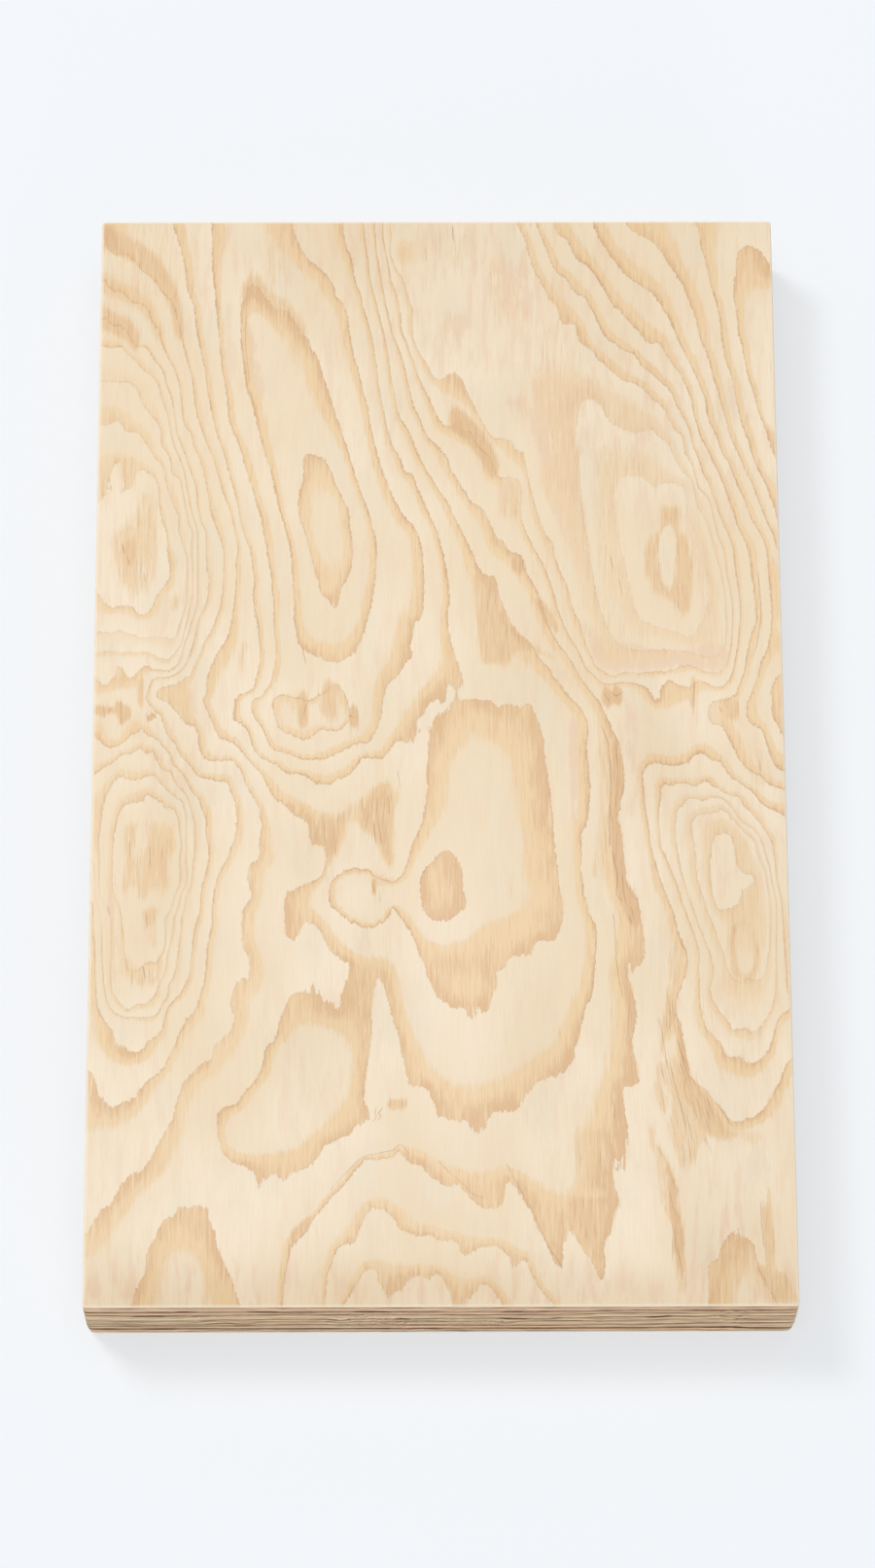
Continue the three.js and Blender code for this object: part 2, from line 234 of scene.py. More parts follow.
    (6, 0.95, 0.36, """551,232 557,246 562,259 566,270 570,277 576,283 582,286 585,292 588,297 594,303
        600,305 605,313 611,325 617,337 624,349 632,353 640,360 650,363 655,369 659,375 666,381 673,387
        679,393 686,399 690,404 693,410 695,417 698,422 702,428 707,437 710,447 712,457 716,467 720,478
        723,487 727,493 730,502 733,510 736,517 738,525 741,533 745,541 748,548 751,556 754,565 755,575
        756,585 758,598 760,612 761,622 761,635 760,648 759,660 757,672 755,683 753,693 749,702 745,704
        740,707 735,706 728,703 722,700 717,700 712,705 705,706 697,704 690,700 685,702 680,707 678,718
        675,721 672,718 669,713 665,708 660,705 650,703 645,701 636,702 627,703 619,702 613,697 608,692
        603,687 600,681 597,674 592,664 587,657 582,648 578,638 574,628 571,617 568,605 564,594 561,586
        556,576 550,566 545,556 541,546"""),
    (6, 0.25, 0.36, "541,546 536,535 536,520 536,502 533,494 528,491 520,492 513,491"),
    (6, 0.95, 0.36, """513,491 509,483 506,475 502,468 496,462 491,457 487,450 484,442 481,443 477,445
        474,437 471,430 466,437 460,438 455,437 450,430 445,420 442,411 436,400 431,390 428,382 425,372
        421,362 418,350 414,343 412,335 412,328 411,318 408,303 403,292 401,282 399,270 397,260 394,245
        394,231"""),
    (5, 0.60, 0.36, """385,231 386,245 387,260 389,272 391,283 393,297 396,310 398,320 401,332 403,342
        406,350 411,362 414,372 417,383 419,393 422,405 425,418 429,425 432,433 435,440 438,447 441,451
        447,456 452,461 457,467 461,474 464,484 468,490 472,497 477,505 480,510 484,516 490,520 495,522
        498,526 503,536 506,543 509,550 512,557"""),
    (5, 0.80, 0.46, """512,557 519,556 522,566 529,569 536,572 539,582 543,592 548,600 552,606 556,617
        560,632 565,645 572,658 578,667 585,676 592,688 598,698 603,705 610,714"""),
    (5, 0.80, 0.50, """610,714 616,722 621,732 626,742 631,753 637,766 640,780 642,797 642,813 639,820
        638,835 634,842 637,848 640,858 641,870 642,885 643,898 645,910 651,918 655,925 658,935 659,945
        661,955 662,965 663,978 662,988 656,995 650,999 645,996 643,992 644,1000 646,1008 649,1017 652,1027
        654,1037 655,1046 653,1055 651,1065 650,1075 652,1085 654,1095 655,1105 657,1114 652,1117 645,1117
        641,1119 640,1125 641,1135 643,1145 645,1155 646,1165 645,1180 645,1195"""),
    (5, 0.75, 0.40, """645,1195 643,1203 639,1193 634,1193 629,1196 630,1203 631,1213 633,1223 635,1233
        634,1243 631,1248 630,1260 628,1271 622,1272 621,1285 622,1300 622,1312 619,1318 616,1315 612,1304
        609,1297 606,1290 603,1295 601,1290 598,1282 594,1275 590,1268 586,1266 583,1275 579,1280 578,1290
        578,1300 577,1306 572,1302 568,1295 564,1286 560,1275 554,1265 550,1255 546,1246 541,1239 536,1231
        530,1222 525,1216 521,1217 519,1222 518,1232"""),
    (5, 0.70, 0.26, """518,1232 516,1241 510,1243 503,1243 496,1243 490,1239 485,1234 480,1229 474,1223
        470,1217 463,1221 456,1220 453,1217 448,1214 443,1211 438,1206 434,1198 427,1198 420,1196 415,1190
        411,1184"""),
    (5, 0.70, 0.16, """411,1184 408,1185 404,1190 397,1192 390,1193 383,1193 376,1193 370,1199 365,1205
        359,1212 353,1220 347,1226 341,1231 335,1240 329,1245 323,1253 318,1260 315,1269 309,1273 304,1279
        300,1281 298,1290 296,1300 293,1315 292,1330 290,1345"""),
    (7, 0.62, 0.40, """532,231 538,245 542,258 545,268 549,280 555,290 560,300 566,310 571,313 575,325
        578,333 584,334 591,334 593,345 597,353 604,357 610,363 617,372 624,377 630,383 636,388 643,392
        650,394 656,396 661,400 667,406 672,412 677,414 682,420 687,430 691,437 694,443 701,449 703,458
        705,467 709,474 712,480 714,488 716,497 718,503 724,508 729,516 732,525 734,535 736,545 738,553
        742,560 744,570 746,580 747,592 749,600 751,612 753,625 753,640 752,655 751,667 749,677 746,685
        741,690 735,691 725,690 718,687 710,684 700,685 690,690 676,690 668,691 660,692 650,692 643,690
        639,692 634,695 627,694 620,690 613,686 609,677 604,667 601,656 598,646 594,636 589,625 586,612
        582,600 578,592 574,582 570,572 569,560 564,553 559,545 555,536 552,526 549,516 546,505 543,492
        541,480 539,470 537,462 534,465 529,461 527,454 521,452 516,452 511,450 505,449 500,442 495,433
        491,425 486,415 480,403 475,392 468,384 462,384 456,389 450,391 446,388 441,380 436,370 431,363
        427,355 424,345 424,330 424,320 420,308 417,297 413,286 408,278 404,270 401,260 402,245 401,231"""),
    (8, 0.40, 0.50, """593,440 595,425 598,415 603,411 611,411 618,418 622,428 630,436 640,441 652,445
        665,443 670,441 675,447 683,453 688,458 692,468 696,475 700,483 706,489 710,492 714,505 716,518
        722,530 727,540 731,550 733,562 737,575 741,588 743,600 745,612 746,630 747,645 746,655 744,665
        740,673 730,676 718,674 708,671 698,669 688,668 675,668 660,669 650,668 640,665 630,655 622,640
        616,622 612,605 610,590 607,575 605,560 602,545 599,528 598,515 597,500 596,485 595,470 592,455
        593,440"""),
    (9, 0.32, 0.50, """634,545 632,530 631,510 634,497 641,491 650,490 660,490 668,498 672,503 678,499
        688,497 697,499 703,502 705,515 707,530 712,543 717,552 722,562 724,575 726,590 727,605 728,618
        726,628 722,638 716,647 711,655 705,654 698,651 688,648 678,645 668,641 660,637 654,628 650,615
        647,600 643,580 638,562 634,545"""),
    (10, 0.10, 0.30, """683,541 679,550 677,565 678,580 680,595 684,603 688,605 692,600 694,580 696,560
        695,548 690,541 683,541"""),
    # Right half, the lower eye.
    (6, 0.90, 0.36, """807,840 803,836 797,834 792,833 787,830 781,824 776,817 770,812 764,808 757,803
        750,798 747,793 744,788 740,784 733,782 727,778 722,774 717,776 711,780 708,785 700,787 690,788
        681,786 676,784 670,786 665,789 662,793 661,800 662,810 663,820 664,830 666,842 668,855 669,865
        671,875 674,887 677,897 680,907 684,917 688,927 691,933 694,942 696,952 699,962 703,973 707,982
        708,990 706,998 706,1005 703,1006 702,1015 698,1022 696,1030 695,1040 696,1047 699,1050 701,1058
        702,1068 704,1078 706,1088 708,1095 709,1103 713,1112 719,1115 723,1120 727,1122 731,1127
        736,1133"""),
    (6, 0.90, 0.15, """736,1133 741,1138 746,1145 750,1151 757,1155 763,1154 768,1151 775,1150 781,1147
        785,1142 789,1137 793,1130 797,1122 801,1115 804,1108 808,1098 813,1088"""),
    (7, 0.70, 0.38, """680,873 679,862 678,848 678,835 680,820 680,810 684,807 690,808 697,806 705,806
        712,809 718,808 723,805 728,805 733,809 740,812 745,816 750,818 757,819 761,821 764,827 769,833
        775,838 780,845 785,852 789,858 793,865 795,875 797,888 798,900 800,912 803,925 805,945 806,965
        808,1000 810,1020 813,1032"""),
    (7, 0.75, 0.40, """680,873 685,880 688,888 692,898 696,908 700,920 703,930 707,940 711,952 715,962
        718,972 720,985 719,995 720,1005 720,1020 721,1035 723,1045 726,1055 731,1063 737,1068 743,1075
        746,1085 750,1088 757,1087 763,1088 768,1093 773,1095 778,1093 784,1088 790,1082 794,1072 797,1062
        799,1052 803,1045 808,1041 813,1036"""),
    (8, 0.50, 0.36, """698,832 703,829 706,823 712,821 718,822 722,825 730,821 740,821 746,824 750,829
        755,836 760,842 766,848 772,852 777,856 781,862 784,870 787,880 791,892 793,905 796,918 798,930
        798,955 798,990 798,1010 797,1025 793,1038 787,1050 780,1060 775,1062 770,1058 765,1058 758,1059
        753,1059 750,1052 744,1045 739,1038 734,1030 731,1020 732,1010 735,1000 733,990 731,980 727,972
        723,960 719,952 716,942 712,930 709,922 706,912 703,903 700,892 698,880 696,865 695,852 696,840
        698,832"""),
    (9, 0.42, 0.50, """712,846 722,838 737,836 745,833 752,842 760,850 767,858 773,863 776,868 779,878
        783,888 787,898 789,910 791,925 792,940 792,970 790,985 788,997 785,1006 778,1009 770,1007 762,1010
        755,1007 750,1000 747,990 744,980 740,970 736,957 731,944 727,935 724,925 721,915 717,900 716,880
        713,862 712,846"""),
    (10, 0.45, 0.60, """735,862 745,858 752,860 755,872 757,884 759,893 766,898 775,901 777,906 771,911
        764,915 761,925 757,932 748,935 740,936 736,930 733,918 731,905 731,890 732,876 735,862"""),
    # Arches at the near edge.
    (6, 0.60, 0.22, """334,1345 335,1330 337,1310 340,1302 344,1292 348,1283 352,1280 356,1278 360,1280
        365,1277 368,1268 371,1260 375,1251 380,1244 385,1243 392,1243 397,1247 403,1251 407,1257 410,1263
        415,1266 421,1269 427,1272 434,1271 440,1270 446,1272 453,1277 460,1276 466,1277 471,1279 473,1288
        479,1292 484,1288 490,1285 497,1283 505,1282 513,1282 516,1287 521,1291 524,1298 529,1306 533,1300
        538,1295 541,1298 545,1307 550,1317 555,1326 561,1332 566,1339 571,1345"""),
    (7, 0.60, 0.24, """352,1342 357,1337 362,1330 367,1320 372,1313 376,1307 381,1304 386,1306 388,1315
        391,1325 395,1333 402,1335 409,1330 415,1326 420,1317 425,1313 432,1312 438,1316 442,1318 446,1311
        452,1311 456,1315 459,1324 462,1335 466,1342 470,1345 476,1341 483,1336 489,1329 493,1322 498,1320
        503,1323 508,1330 513,1337 518,1345"""),
    (5, 0.90, 0.60, """729,1345 729,1330 729,1310 730,1300 734,1299 737,1296 741,1288 744,1280 748,1273
        752,1268 755,1264 758,1268 761,1275 764,1272 768,1275"""),
    (5, 0.40, 0.60, "768,1275 772,1277 776,1282 778,1292 781,1303 785,1313 791,1324 797,1335 801,1345"),
]

# Ages held at single spots, where no sharp line settles them: (age, "x,y" pairs).
AGE_SPOTS = [
    (-0.70, "337,520 337,545 338,565 330,550"),
    (-0.25, "320,500 316,525 341,600 345,590 352,540 335,608"),
    (0.50, "295,735 323,740 340,746 352,742 320,728"),
    (1.20, "320,692 340,693"),
    (2.35, "370,922 395,924 357,918 383,907 383,938 404,915 404,922 403,929 412,918 413,928"),
    (3.40, "190,1322 184,1300 176,1338"),
    (3.90, "325,850 340,850 345,865 350,858 338,866"),
    (3.60, "356,845 354,868 345,885"),
    (3.25, "365,878 365,860 338,896"),
    (3.88, "380,830 395,830 400,860 395,850 385,850 400,880 374,845 403,820"),
    (3.30, "412,840 411,870 380,880 370,866 392,792 350,815"),
    (3.15, "425,820 420,790 425,845"),
    (3.88, "365,1000 370,1020 365,1045 372,1080 385,993 400,1003 370,1110 366,1140 350,1160"),
    (3.88, "408,1030 415,1060 425,1090 430,1105 450,1125 480,1135 510,1130"),
    (3.35, "370,972 390,968 385,962 410,975 418,990"),
    (3.20, "310,1100 300,1150 330,1110 250,1170 270,1130 240,1165 320,1080 300,1085 340,1100"),
    (3.20, "520,1070 470,1080 560,1020 440,1050 580,980 540,1060 430,1030"),
    (2.25, "500,800 490,850 500,900 470,955 494,785 458,858 522,862 520,925 515,890 440,955"),
    (2.75, "474,758 512,758 488,740 452,815 540,845 545,885 500,955 530,945 470,975"),
    (2.88, "545,800 552,850 556,900 560,940 500,730 530,740 448,790 480,1000 455,985"),
    (2.80, "540,962 520,972 557,955 480,1022 465,1015 497,1018"),
    (3.15, "540,998 522,1008 565,985 518,1030 470,1052 450,1045 500,1052"),
    (4.10, "390,1050 392,1090 395,1130 390,1030"),
    (4.20, "420,1150 560,1150 300,1230 600,1110 400,1170"),
    (4.25, "560,1190 540,1190"),
    (4.80, "612,1170 608,1200 562,1232 585,1242 600,1225"),
    (4.42, "578,1195 582,1212 560,1208 584,1175"),
    (5.15, "740,1220 780,1200 660,1190 655,1250 720,1300 600,1330 812,1200 812,1250 810,1290 822,1330"),
    (5.40, "690,1180 695,1250 700,1310"),
    (5.25, "680,745 720,745 700,765 660,730"),
    (10.35, "140,545 135,580 125,600 160,560 108,560 101,560 150,610"),
    (9.70, "173,611 167,624 159,636 180,590"),
    (10.55, "140,870 150,890 145,905 160,870 165,885 160,900 160,915"),
    (10.30, "148,975 155,840 140,835"),
    (10.50, "155,930 150,950"),
    (10.30, "122,900 122,915 121,885 127,925"),
    (9.50, "110,900 110,885 111,912 109,870 109,855"),
    (9.55, "120,960 120,975 121,990 123,1005 127,1008"),
    (10.30, "133,975 137,985 132,960 140,990 146,985 131,945"),
    (8.50, "109,960 109,975 110,990 110,1005"),
    (7.50, "101,960 101,980 102,1000 104,1020"),
    (6.70, "93,1000 94,980"),
    (8.50, "97,895 98,880"),
    (9.45, "138,1008 150,1006 160,1000 128,1008"),
    (9.30, "140,1018 128,1018 150,1016"),
    (6.55, "108,715 125,712 130,735 105,738 118,745 140,735 148,745 112,752"),
    (4.85, "175,712 185,718 190,730"),
    (4.70, "196,735 199,715"),
    (4.40, "204,705 206,725"),
    (0.62, "262,345 262,375 268,400 275,425 262,360 258,330"),
    (7.30, "420,240 440,240 460,250 430,270 480,280 450,300 440,350 470,340 500,370 530,400"),
    (7.55, "505,270 512,310 545,320"),
    (7.75, "590,395 570,430 570,480 590,520 560,400"),
    (8.25, "606,440 605,480 606,510"),
    (8.70, "625,480 624,520 626,560 628,600 655,470 680,488"),
    (9.25, "650,520 650,560 655,590 640,500"),
    (8.80, "727,647 735,640"),
    (9.80, "670,560 670,590 700,590 688,528 703,610 706,580 690,620"),
    (10.40, "687,570"),
    (10.40, "745,880 745,910"),
    (9.85, "765,943 755,943 772,940"),
    (9.75, "768,958 758,958"),
    (9.35, "768,985 755,985 780,985 760,995"),
    (8.65, "770,1022 760,1022"),
    (8.30, "765,1045"),
    (5.85, "685,710 700,712 712,712 664,712"),
    (4.80, "617,1300 612,1285 620,1275 607,1272 625,1250 600,1255 765,1290 750,1280"),
    (5.20, "630,1290 640,1250 600,1310 610,1330 627,1320 650,1200 660,1100 655,1150"),
    (0.35, "780,330 780,380 790,430"),
    (0.80, "770,290"),
    (1.30, "745,300 770,240"),
    (3.40, "800,640 797,760"),
    (4.85, "750,1300 742,1330 760,1290"),
    (4.12, "778,1336 772,1342 786,1340 776,1326"),
]

# Soft patches: (darkness, softness in mm, "x,y" pairs). A course that ends where it starts is an
# outline; any other is a line as wide as it is soft. Below zero they are pale.
STAINS = [
    # rusty edges at the upper left
    (0.76, 1.2, "90,238 104,244 118,250 134,257 148,266 162,280 173,298 180,318 184,340"),
    (0.64, 1.0, "90,282 104,290 116,297 130,303 142,309 154,322 164,344"),
    (0.80, 1.1, "92,320 104,327 116,333 130,340 140,352"),
    (0.68, 1.3, "253,303 262,296 268,304 278,314 290,321 300,333 310,350"),
    # left eye
    (0.62, 1.8, """145,503 152,502 157,505 160,515 161,530 164,550 164,570 161,590 155,604 146,612 134,612
        124,604 118,590 114,572 113,556 118,545 127,536 137,526 141,514 145,503"""),
    (0.80, 3.0, "124,552 134,543 143,548 146,565 142,585 134,594 125,584 121,566 124,552"),
    # the brushed box at the left edge, and what is round it
    (0.55, 0.9, "118,700 120,688 123,685 126,690 128,697 133,700 133,704 120,706 118,700"),
    (0.75, 0.9, "142,697 148,693 149,712 147,728 142,728 140,714 140,705 142,697"),
    (0.85, 0.8, """96,728 100,724 116,726 118,719 126,722 134,727 135,734 134,742 128,744 124,750 122,747
        119,737 112,735 107,741 103,738 96,736 96,728"""),
    (1.10, 0.5, "151,741 151,737 155,734 160,733 160,737 156,742 151,741"),
    (0.50, 1.0, "250,670 248,682"),
    # lower left eye
    (0.66, 1.2, """127,847 134,843 146,846 149,838 153,843 160,845 166,850 173,856 176,862 175,870 173,890
        172,912 170,918 156,918 150,928 142,925 138,915 128,920 124,912 125,895 126,870 127,847"""),
    (0.70, 1.2, "152,858 172,856 173,880 169,900 152,898 148,880 152,858"),
    (0.65, 1.2, "140,900 172,898 172,913 156,919 147,914 140,900"),
    (-0.60, 0.9, "142,852 149,851 150,868 145,874 140,868 142,852"),
    (-0.30, 0.9, "136,872 143,870 146,880 138,882 136,872"),
    (0.70, 0.9, "145,937 158,930 163,936 160,949 152,956 147,950 145,937"),
    (0.40, 1.2, "140,948 161,948 158,966 142,962 140,948"),
    (0.35, 1.2, "139,1003 152,1002 150,1012 140,1012 139,1003"),
    (0.60, 0.8, "130,992 136,1002 148,1005 160,1001 165,990"),
    (0.35, 1.2, "114,905 112,940 114,975 117,1020"),
    # the two lobes over the squiggle's loop
    (0.72, 1.0, """300,823 310,823 318,829 327,836 336,839 346,838 350,834 356,833 357,842 356,852 354,862
        350,870 346,878 342,886 338,896 334,902 330,900 334,885 332,874 320,868 318,855 312,842 300,836
        292,828 300,823"""),
    (0.55, 1.0, "350,838 358,825 372,822 376,832 372,845 360,848 350,838"),
    (0.78, 1.0, """374,826 380,814 387,806 393,802 400,802 403,808 405,830 405,870 404,890 400,894 395,886
        390,876 386,868 380,860 372,856 368,848 370,838 374,826"""),
    (0.35, 5.0, "130,242 165,245"),
    (0.45, 3.0, "292,235 284,262"),
    (0.85, 0.7, """299,1266 306,1258 318,1249 323,1250 317,1261 312,1269 303,1276 299,1280 297,1272
        299,1266"""),
    (0.60, 0.9, "590,1160 612,1158 628,1165 630,1195 632,1222 610,1226 592,1222 590,1200 590,1160"),
    (0.78, 0.9, """583,1234 600,1229 620,1229 634,1226 638,1240 634,1250 631,1262 626,1270 620,1290 616,1308
        608,1292 602,1276 594,1264 587,1250 583,1234"""),
    # the wedge and the tints above the middle
    (0.72, 1.0, """484,588 500,595 510,600 513,620 520,635 540,655 560,668 575,680 545,672 530,674 522,685
        505,685 495,683 490,660 487,620 484,588"""),
    (0.95, 1.2, "468,432 478,440 488,450 498,464 507,480"),
    (0.85, 1.0, "524,572 538,576 540,590 528,590 524,572"),
    (0.85, 1.0, "546,612 562,620 575,645 570,652 556,636 546,612"),
    (0.60, 1.2, "512,495 534,495 534,532 516,530 512,495"),
    (0.70, 0.7, "500,538 507,545 512,560 506,556 500,538"),
    # small eye
    (0.90, 1.0, "311,722 311,740"),
    (0.70, 1.1, "333,724 336,713 342,714 341,731"),
    (0.50, 0.8, "297,721 305,722"),
    (0.95, 0.95, "363,737 364,738"),
    (1.20, 0.4, "384,909 384,916"),
    (0.50, 0.8, "387,905 389,922"),
    (0.30, 1.0, "384,903 400,909"),
    (0.75, 0.5, "399,1131 417,1131 417,1141 399,1141 399,1131"),
    (0.35, 0.8, "519,898 525,915"),
    # streaked edge right of the middle
    (0.55, 0.9, """613,742 620,735 626,745 629,765 630,800 630,850 628,870 623,904 610,902 609,890 612,870
        615,850 616,800 614,770 613,742"""),
    (1.00, 0.9, """629,765 634,764 638,775 641,795 641,812 637,822 636,840 639,855 640,870 642,895 645,907
        653,918 657,930 659,950 650,955 640,938 636,925 632,905 629,880 627,860 629,820 629,765"""),
    (-0.80, 0.9, "612,908 622,906 627,920 629,940 627,950 618,940 612,925 612,908"),
    (0.80, 0.9, "640,1010 650,1014 653,1035 652,1055 649,1075 642,1075 645,1050 642,1030 640,1010"),
    (0.75, 0.9, "638,1088 652,1085 656,1100 657,1115 641,1117 638,1104 638,1088"),
    (0.70, 1.2, "630,1110 639,1110 640,1130 643,1150 644,1180 630,1180 628,1150 630,1110"),
    # the tangle at the right
    (0.72, 0.9, """687,1022 694,1018 697,1040 698,1062 692,1052 688,1062 680,1095 678,1080 680,1050
        687,1022"""),
    (-0.90, 0.8, "689,1068 696,1067 697,1084 691,1087 688,1080 689,1068"),
    (0.85, 0.8, "697,1068 703,1070 708,1092 711,1110 704,1108 699,1092 697,1068"),
    (0.60, 1.0, "672,1111 683,1110 686,1125 690,1140 684,1146 677,1141 672,1126 672,1111"),
    (0.62, 1.0, """676,1092 690,1090 700,1092 708,1105 712,1118 720,1135 730,1150 736,1160 732,1170 722,1180
        714,1198 704,1206 698,1198 692,1182 687,1160 690,1140 684,1120 674,1108 676,1092"""),
    (0.75, 0.9, """715,1124 722,1121 728,1128 738,1140 744,1150 752,1160 764,1168 745,1175 726,1168 713,1150
        715,1124"""),
    (0.60, 1.2, "690,960 700,975 706,995 698,1015 690,1015 686,1000 690,960"),
    # its tail
    (0.60, 0.9, """666,1158 674,1158 676,1175 682,1180 687,1190 693,1200 697,1215 700,1235 704,1260 706,1290
        708,1310 705,1330 701,1338 698,1325 694,1310 691,1290 688,1262 682,1250 677,1230 675,1210 671,1190
        666,1175 666,1158"""),
    (1.00, 0.7, """684,1196 688,1200 694,1212 698,1225 697,1235 699,1250 704,1270 703,1290 702,1320 699,1318
        697,1300 693,1285 691,1262 688,1245 689,1225 686,1210 684,1196"""),
    # near right corner
    (0.72, 0.8, """789,1222 793,1223 795,1238 796,1255 799,1270 800,1290 799,1305 807,1308 812,1315 818,1325
        821,1341 797,1341 792,1330 782,1319 777,1308 780,1300 788,1300 786,1285 784,1268 783,1250 783,1235
        787,1240 788,1228 789,1222"""),
    (0.55, 1.2, "755,1163 780,1162 785,1172 775,1182 756,1172 755,1163"),
    # lower right eye and the loop above it
    (0.50, 1.6, "775,782 784,793"),
    (0.75, 1.0, "746,731 759,729"),
    (-0.60, 1.2, "733,728 733,738 740,743"),
    (1.00, 0.8, "623,716 627,720"),
    (1.00, 0.8, "633,714 638,717"),
    (0.80, 0.6, "713,703 713,724"),
    (0.40, 0.6, "716,715 717,745"),
    (-0.95, 1.2, "766,972 767,984"),
    (0.75, 1.3, "752,950 764,945 777,955 783,985 777,1008 764,1014 753,1004 749,975 752,950"),
    # upper right eye
    (0.73, 1.1, """678,545 679,522 685,519 699,520 701,530 700,545 706,550 711,565 714,585 714,600 712,615
        710,630 704,635 697,630 692,622 684,617 672,612 668,600 663,595 661,580 662,565 666,552 672,545
        678,545"""),
    (-0.60, 0.8, """684,541 690,541 694,550 695,565 694,580 692,597 688,604 684,602 680,590 678,570 679,552
        684,541"""),
    # faint tints in the cream
    (0.50, 1.2, "614,461 628,457 645,460 668,472 667,490 640,490 622,492 618,520 613,490 614,461"),
    (0.35, 5.0, "570,345 575,430"),
    (0.30, 2.2, "462,338 470,342"),
    (0.30, 2.2, "508,292 512,312"),
    (0.30, 1.8, "452,246 480,258"),
    (0.30, 2.0, "532,414 540,418"),
    (0.40, 2.6, "628,480 624,530 630,600 634,640"),
    (0.35, 1.6, "716,552 722,590"),
    (0.40, 1.2, "731,592 732,618"),
    (0.35, 1.8, "642,662 668,664"),
    (0.30, 1.6, "700,660 738,664"),
    (0.25, 3.0, "560,600 600,690"),
    (0.25, 3.0, "740,1040 770,1050"),
]

# Pinkish patches in the cream, in the same way.
BLUSHES = [
    (0.65, 1.4, """522,407 545,405 545,377 570,370 580,387 615,390 620,415 595,412 590,440 600,465 595,490
        602,520 606,560 612,605 600,595 582,560 565,520 557,477 547,452 540,427 522,420 522,407"""),
    (0.35, 1.2, "615,452 655,450 655,488 630,480 618,520 612,480 615,452"),
    (0.55, 1.8, "502,270 520,262 545,275 545,330 520,325 505,300 502,270"),
    (0.50, 1.4, "455,322 480,322 482,347 460,347 455,322"),
    (0.45, 1.2, "512,495 534,495 534,532 516,530 512,495"),
    (0.75, 1.0, "600,640 620,655 660,664 700,668 742,662 748,690 700,688 640,690 614,682 600,640"),
    (0.60, 1.2, "704,520 716,540 730,575 736,620 726,640 716,600 706,555 704,520"),
    (0.70, 1.0, "586,740 597,745 600,800 598,860 590,860 584,800 586,740"),
    (0.60, 0.8, "538,852 549,852 548,890 536,892 538,852"),
    (0.60, 0.8, "452,986 474,988 476,1000 456,1002 452,986"),
    (0.80, 0.7, "383,901 404,903 400,912 384,911 383,901"),
    (0.70, 0.8, "339,915 347,905 346,935 340,928 339,915"),
    (0.60, 1.2, "250,340 262,345 272,400 262,420 252,380 250,340"),
    (0.60, 1.0, "110,925 118,920 120,1000 112,1000 110,925"),
    (0.50, 1.6, "640,720 652,735 652,800 645,790 640,720"),
]

# Thin lines in the wood: (darkness, "x,y" pairs). Those of one set keep clear of each other.
STROKES = {
    "first": [
        (0.77, "465,235 466,248"),
        (0.77, "360,737 363,738"),
        (0.42, "383,911 385,919"),
        (0.51, "312,735 315,724"),
        (0.42, "622,714 626,721"),
        (0.68, "648,945 649,949"),
        (0.34, "384.5,1152 387,1149 385,1145 386.5,1141"),
        (0.38, "522,1200 532,1218 545,1242 555,1262 565,1284 577,1302"),
        (0.3, "341,1222 356,1206 372,1191 390,1186 404,1183 411,1177 420,1186"),
        (0.3, "452,1196 462,1206 476,1218 487,1229 497,1232"),
        (0.59, "741,729 742,731"),
        (0.42, "409,795 411,811"),
        (0.42, "714,704 713,735"),
        (0.59, "620,750 625,765 627,785 628,810 627,840 627,870"),
        (0.51, "630,878 633,890 635,903 634,918 638,926"),
        (0.34, "628,574 630,584"),
        (0.42, "631,942 633,970 634,990 637,1010 640,1025"),
        (0.42, "780,590 783,630 779,660 775,675"),
        (0.42, "311,669 314,682"),
        (0.36, "686,1020 690,1050 688,1060"),
        (0.42, "697,1072 704,1092"),
        (0.54, "704,1113 705,1117"),
        (0.36, "690,1100 695,1120 702,1142 706,1158"),
        (0.36, "740,1138 752,1158"),
        (0.36, "676,1180 681,1188 686,1196 691,1212 697,1225"),
        (0.36, "696,1285 700,1298 702,1315"),
        (0.36, "783,1240 784,1262 786,1282"),
        (0.68, "126,562 127,569"),
        (0.51, "148,592 149,598"),
        (0.51, "151,737 152,742"),
        (0.42, "124,722 124,744"),
        (0.42, "333,850 334,866"),
        (0.42, "372,822 372,835"),
        (0.51, "389,848 392,868"),
        (0.59, "111,935 112,939"),
        (0.42, "150,940 151,954"),
        (0.51, "147,996 149,1006"),
        (0.42, "166,876 166,884"),
        (0.3, "722,1140 728,1160"),
        (0.3, "716,1106 720,1124"),
        (0.3, "726,1172 732,1186"),
        (0.3, "680,1120 684,1145"),
        (0.3, "702,1180 704,1200"),
    ],
    "second": [
        (0.3, "690,1150 694,1168"),
        (0.3, "727,1128 733,1146"),
        (0.3, "740,1150 744,1166"),
        (0.34, "437,257 438,267"),
        (0.52, "391,1142 389,1145 391.5,1148 389.5,1151"),
        (0.42, "630,713 633,716 639,713"),
        (0.42, "640,903 641,915 643,928"),
        (0.51, "650,936 652,946"),
        (0.51, "781,783 782,792"),
        (0.34, "253,312 252,352 256,392"),
        (0.34, "634,770 635,800 633,830"),
        (0.34, "637,598 640,612"),
        (0.3, "648,1020 647,1040 645,1055 644,1070"),
        (0.36, "678,1050 683,1075 686,1095"),
        (0.36, "700,1096 706,1112 712,1130"),
        (0.36, "713,1134 717,1150"),
        (0.3, "696,1120 700,1138"),
        (0.3, "687,1212 690,1232 694,1246 700,1256"),
        (0.24, "692,1262 695,1275 698,1288"),
        (0.3, "788,1282 788,1298"),
        (0.51, "131,576 133,581"),
        (0.51, "156,734 159,738"),
        (0.34, "106,728 107,738"),
        (0.42, "345,866 344,878"),
        (0.51, "384,848 386,866"),
        (0.42, "399,822 400,836"),
        (0.42, "154,874 154,890"),
        (0.42, "133,868 133,882"),
        (0.3, "710,1158 712,1172"),
    ],
}

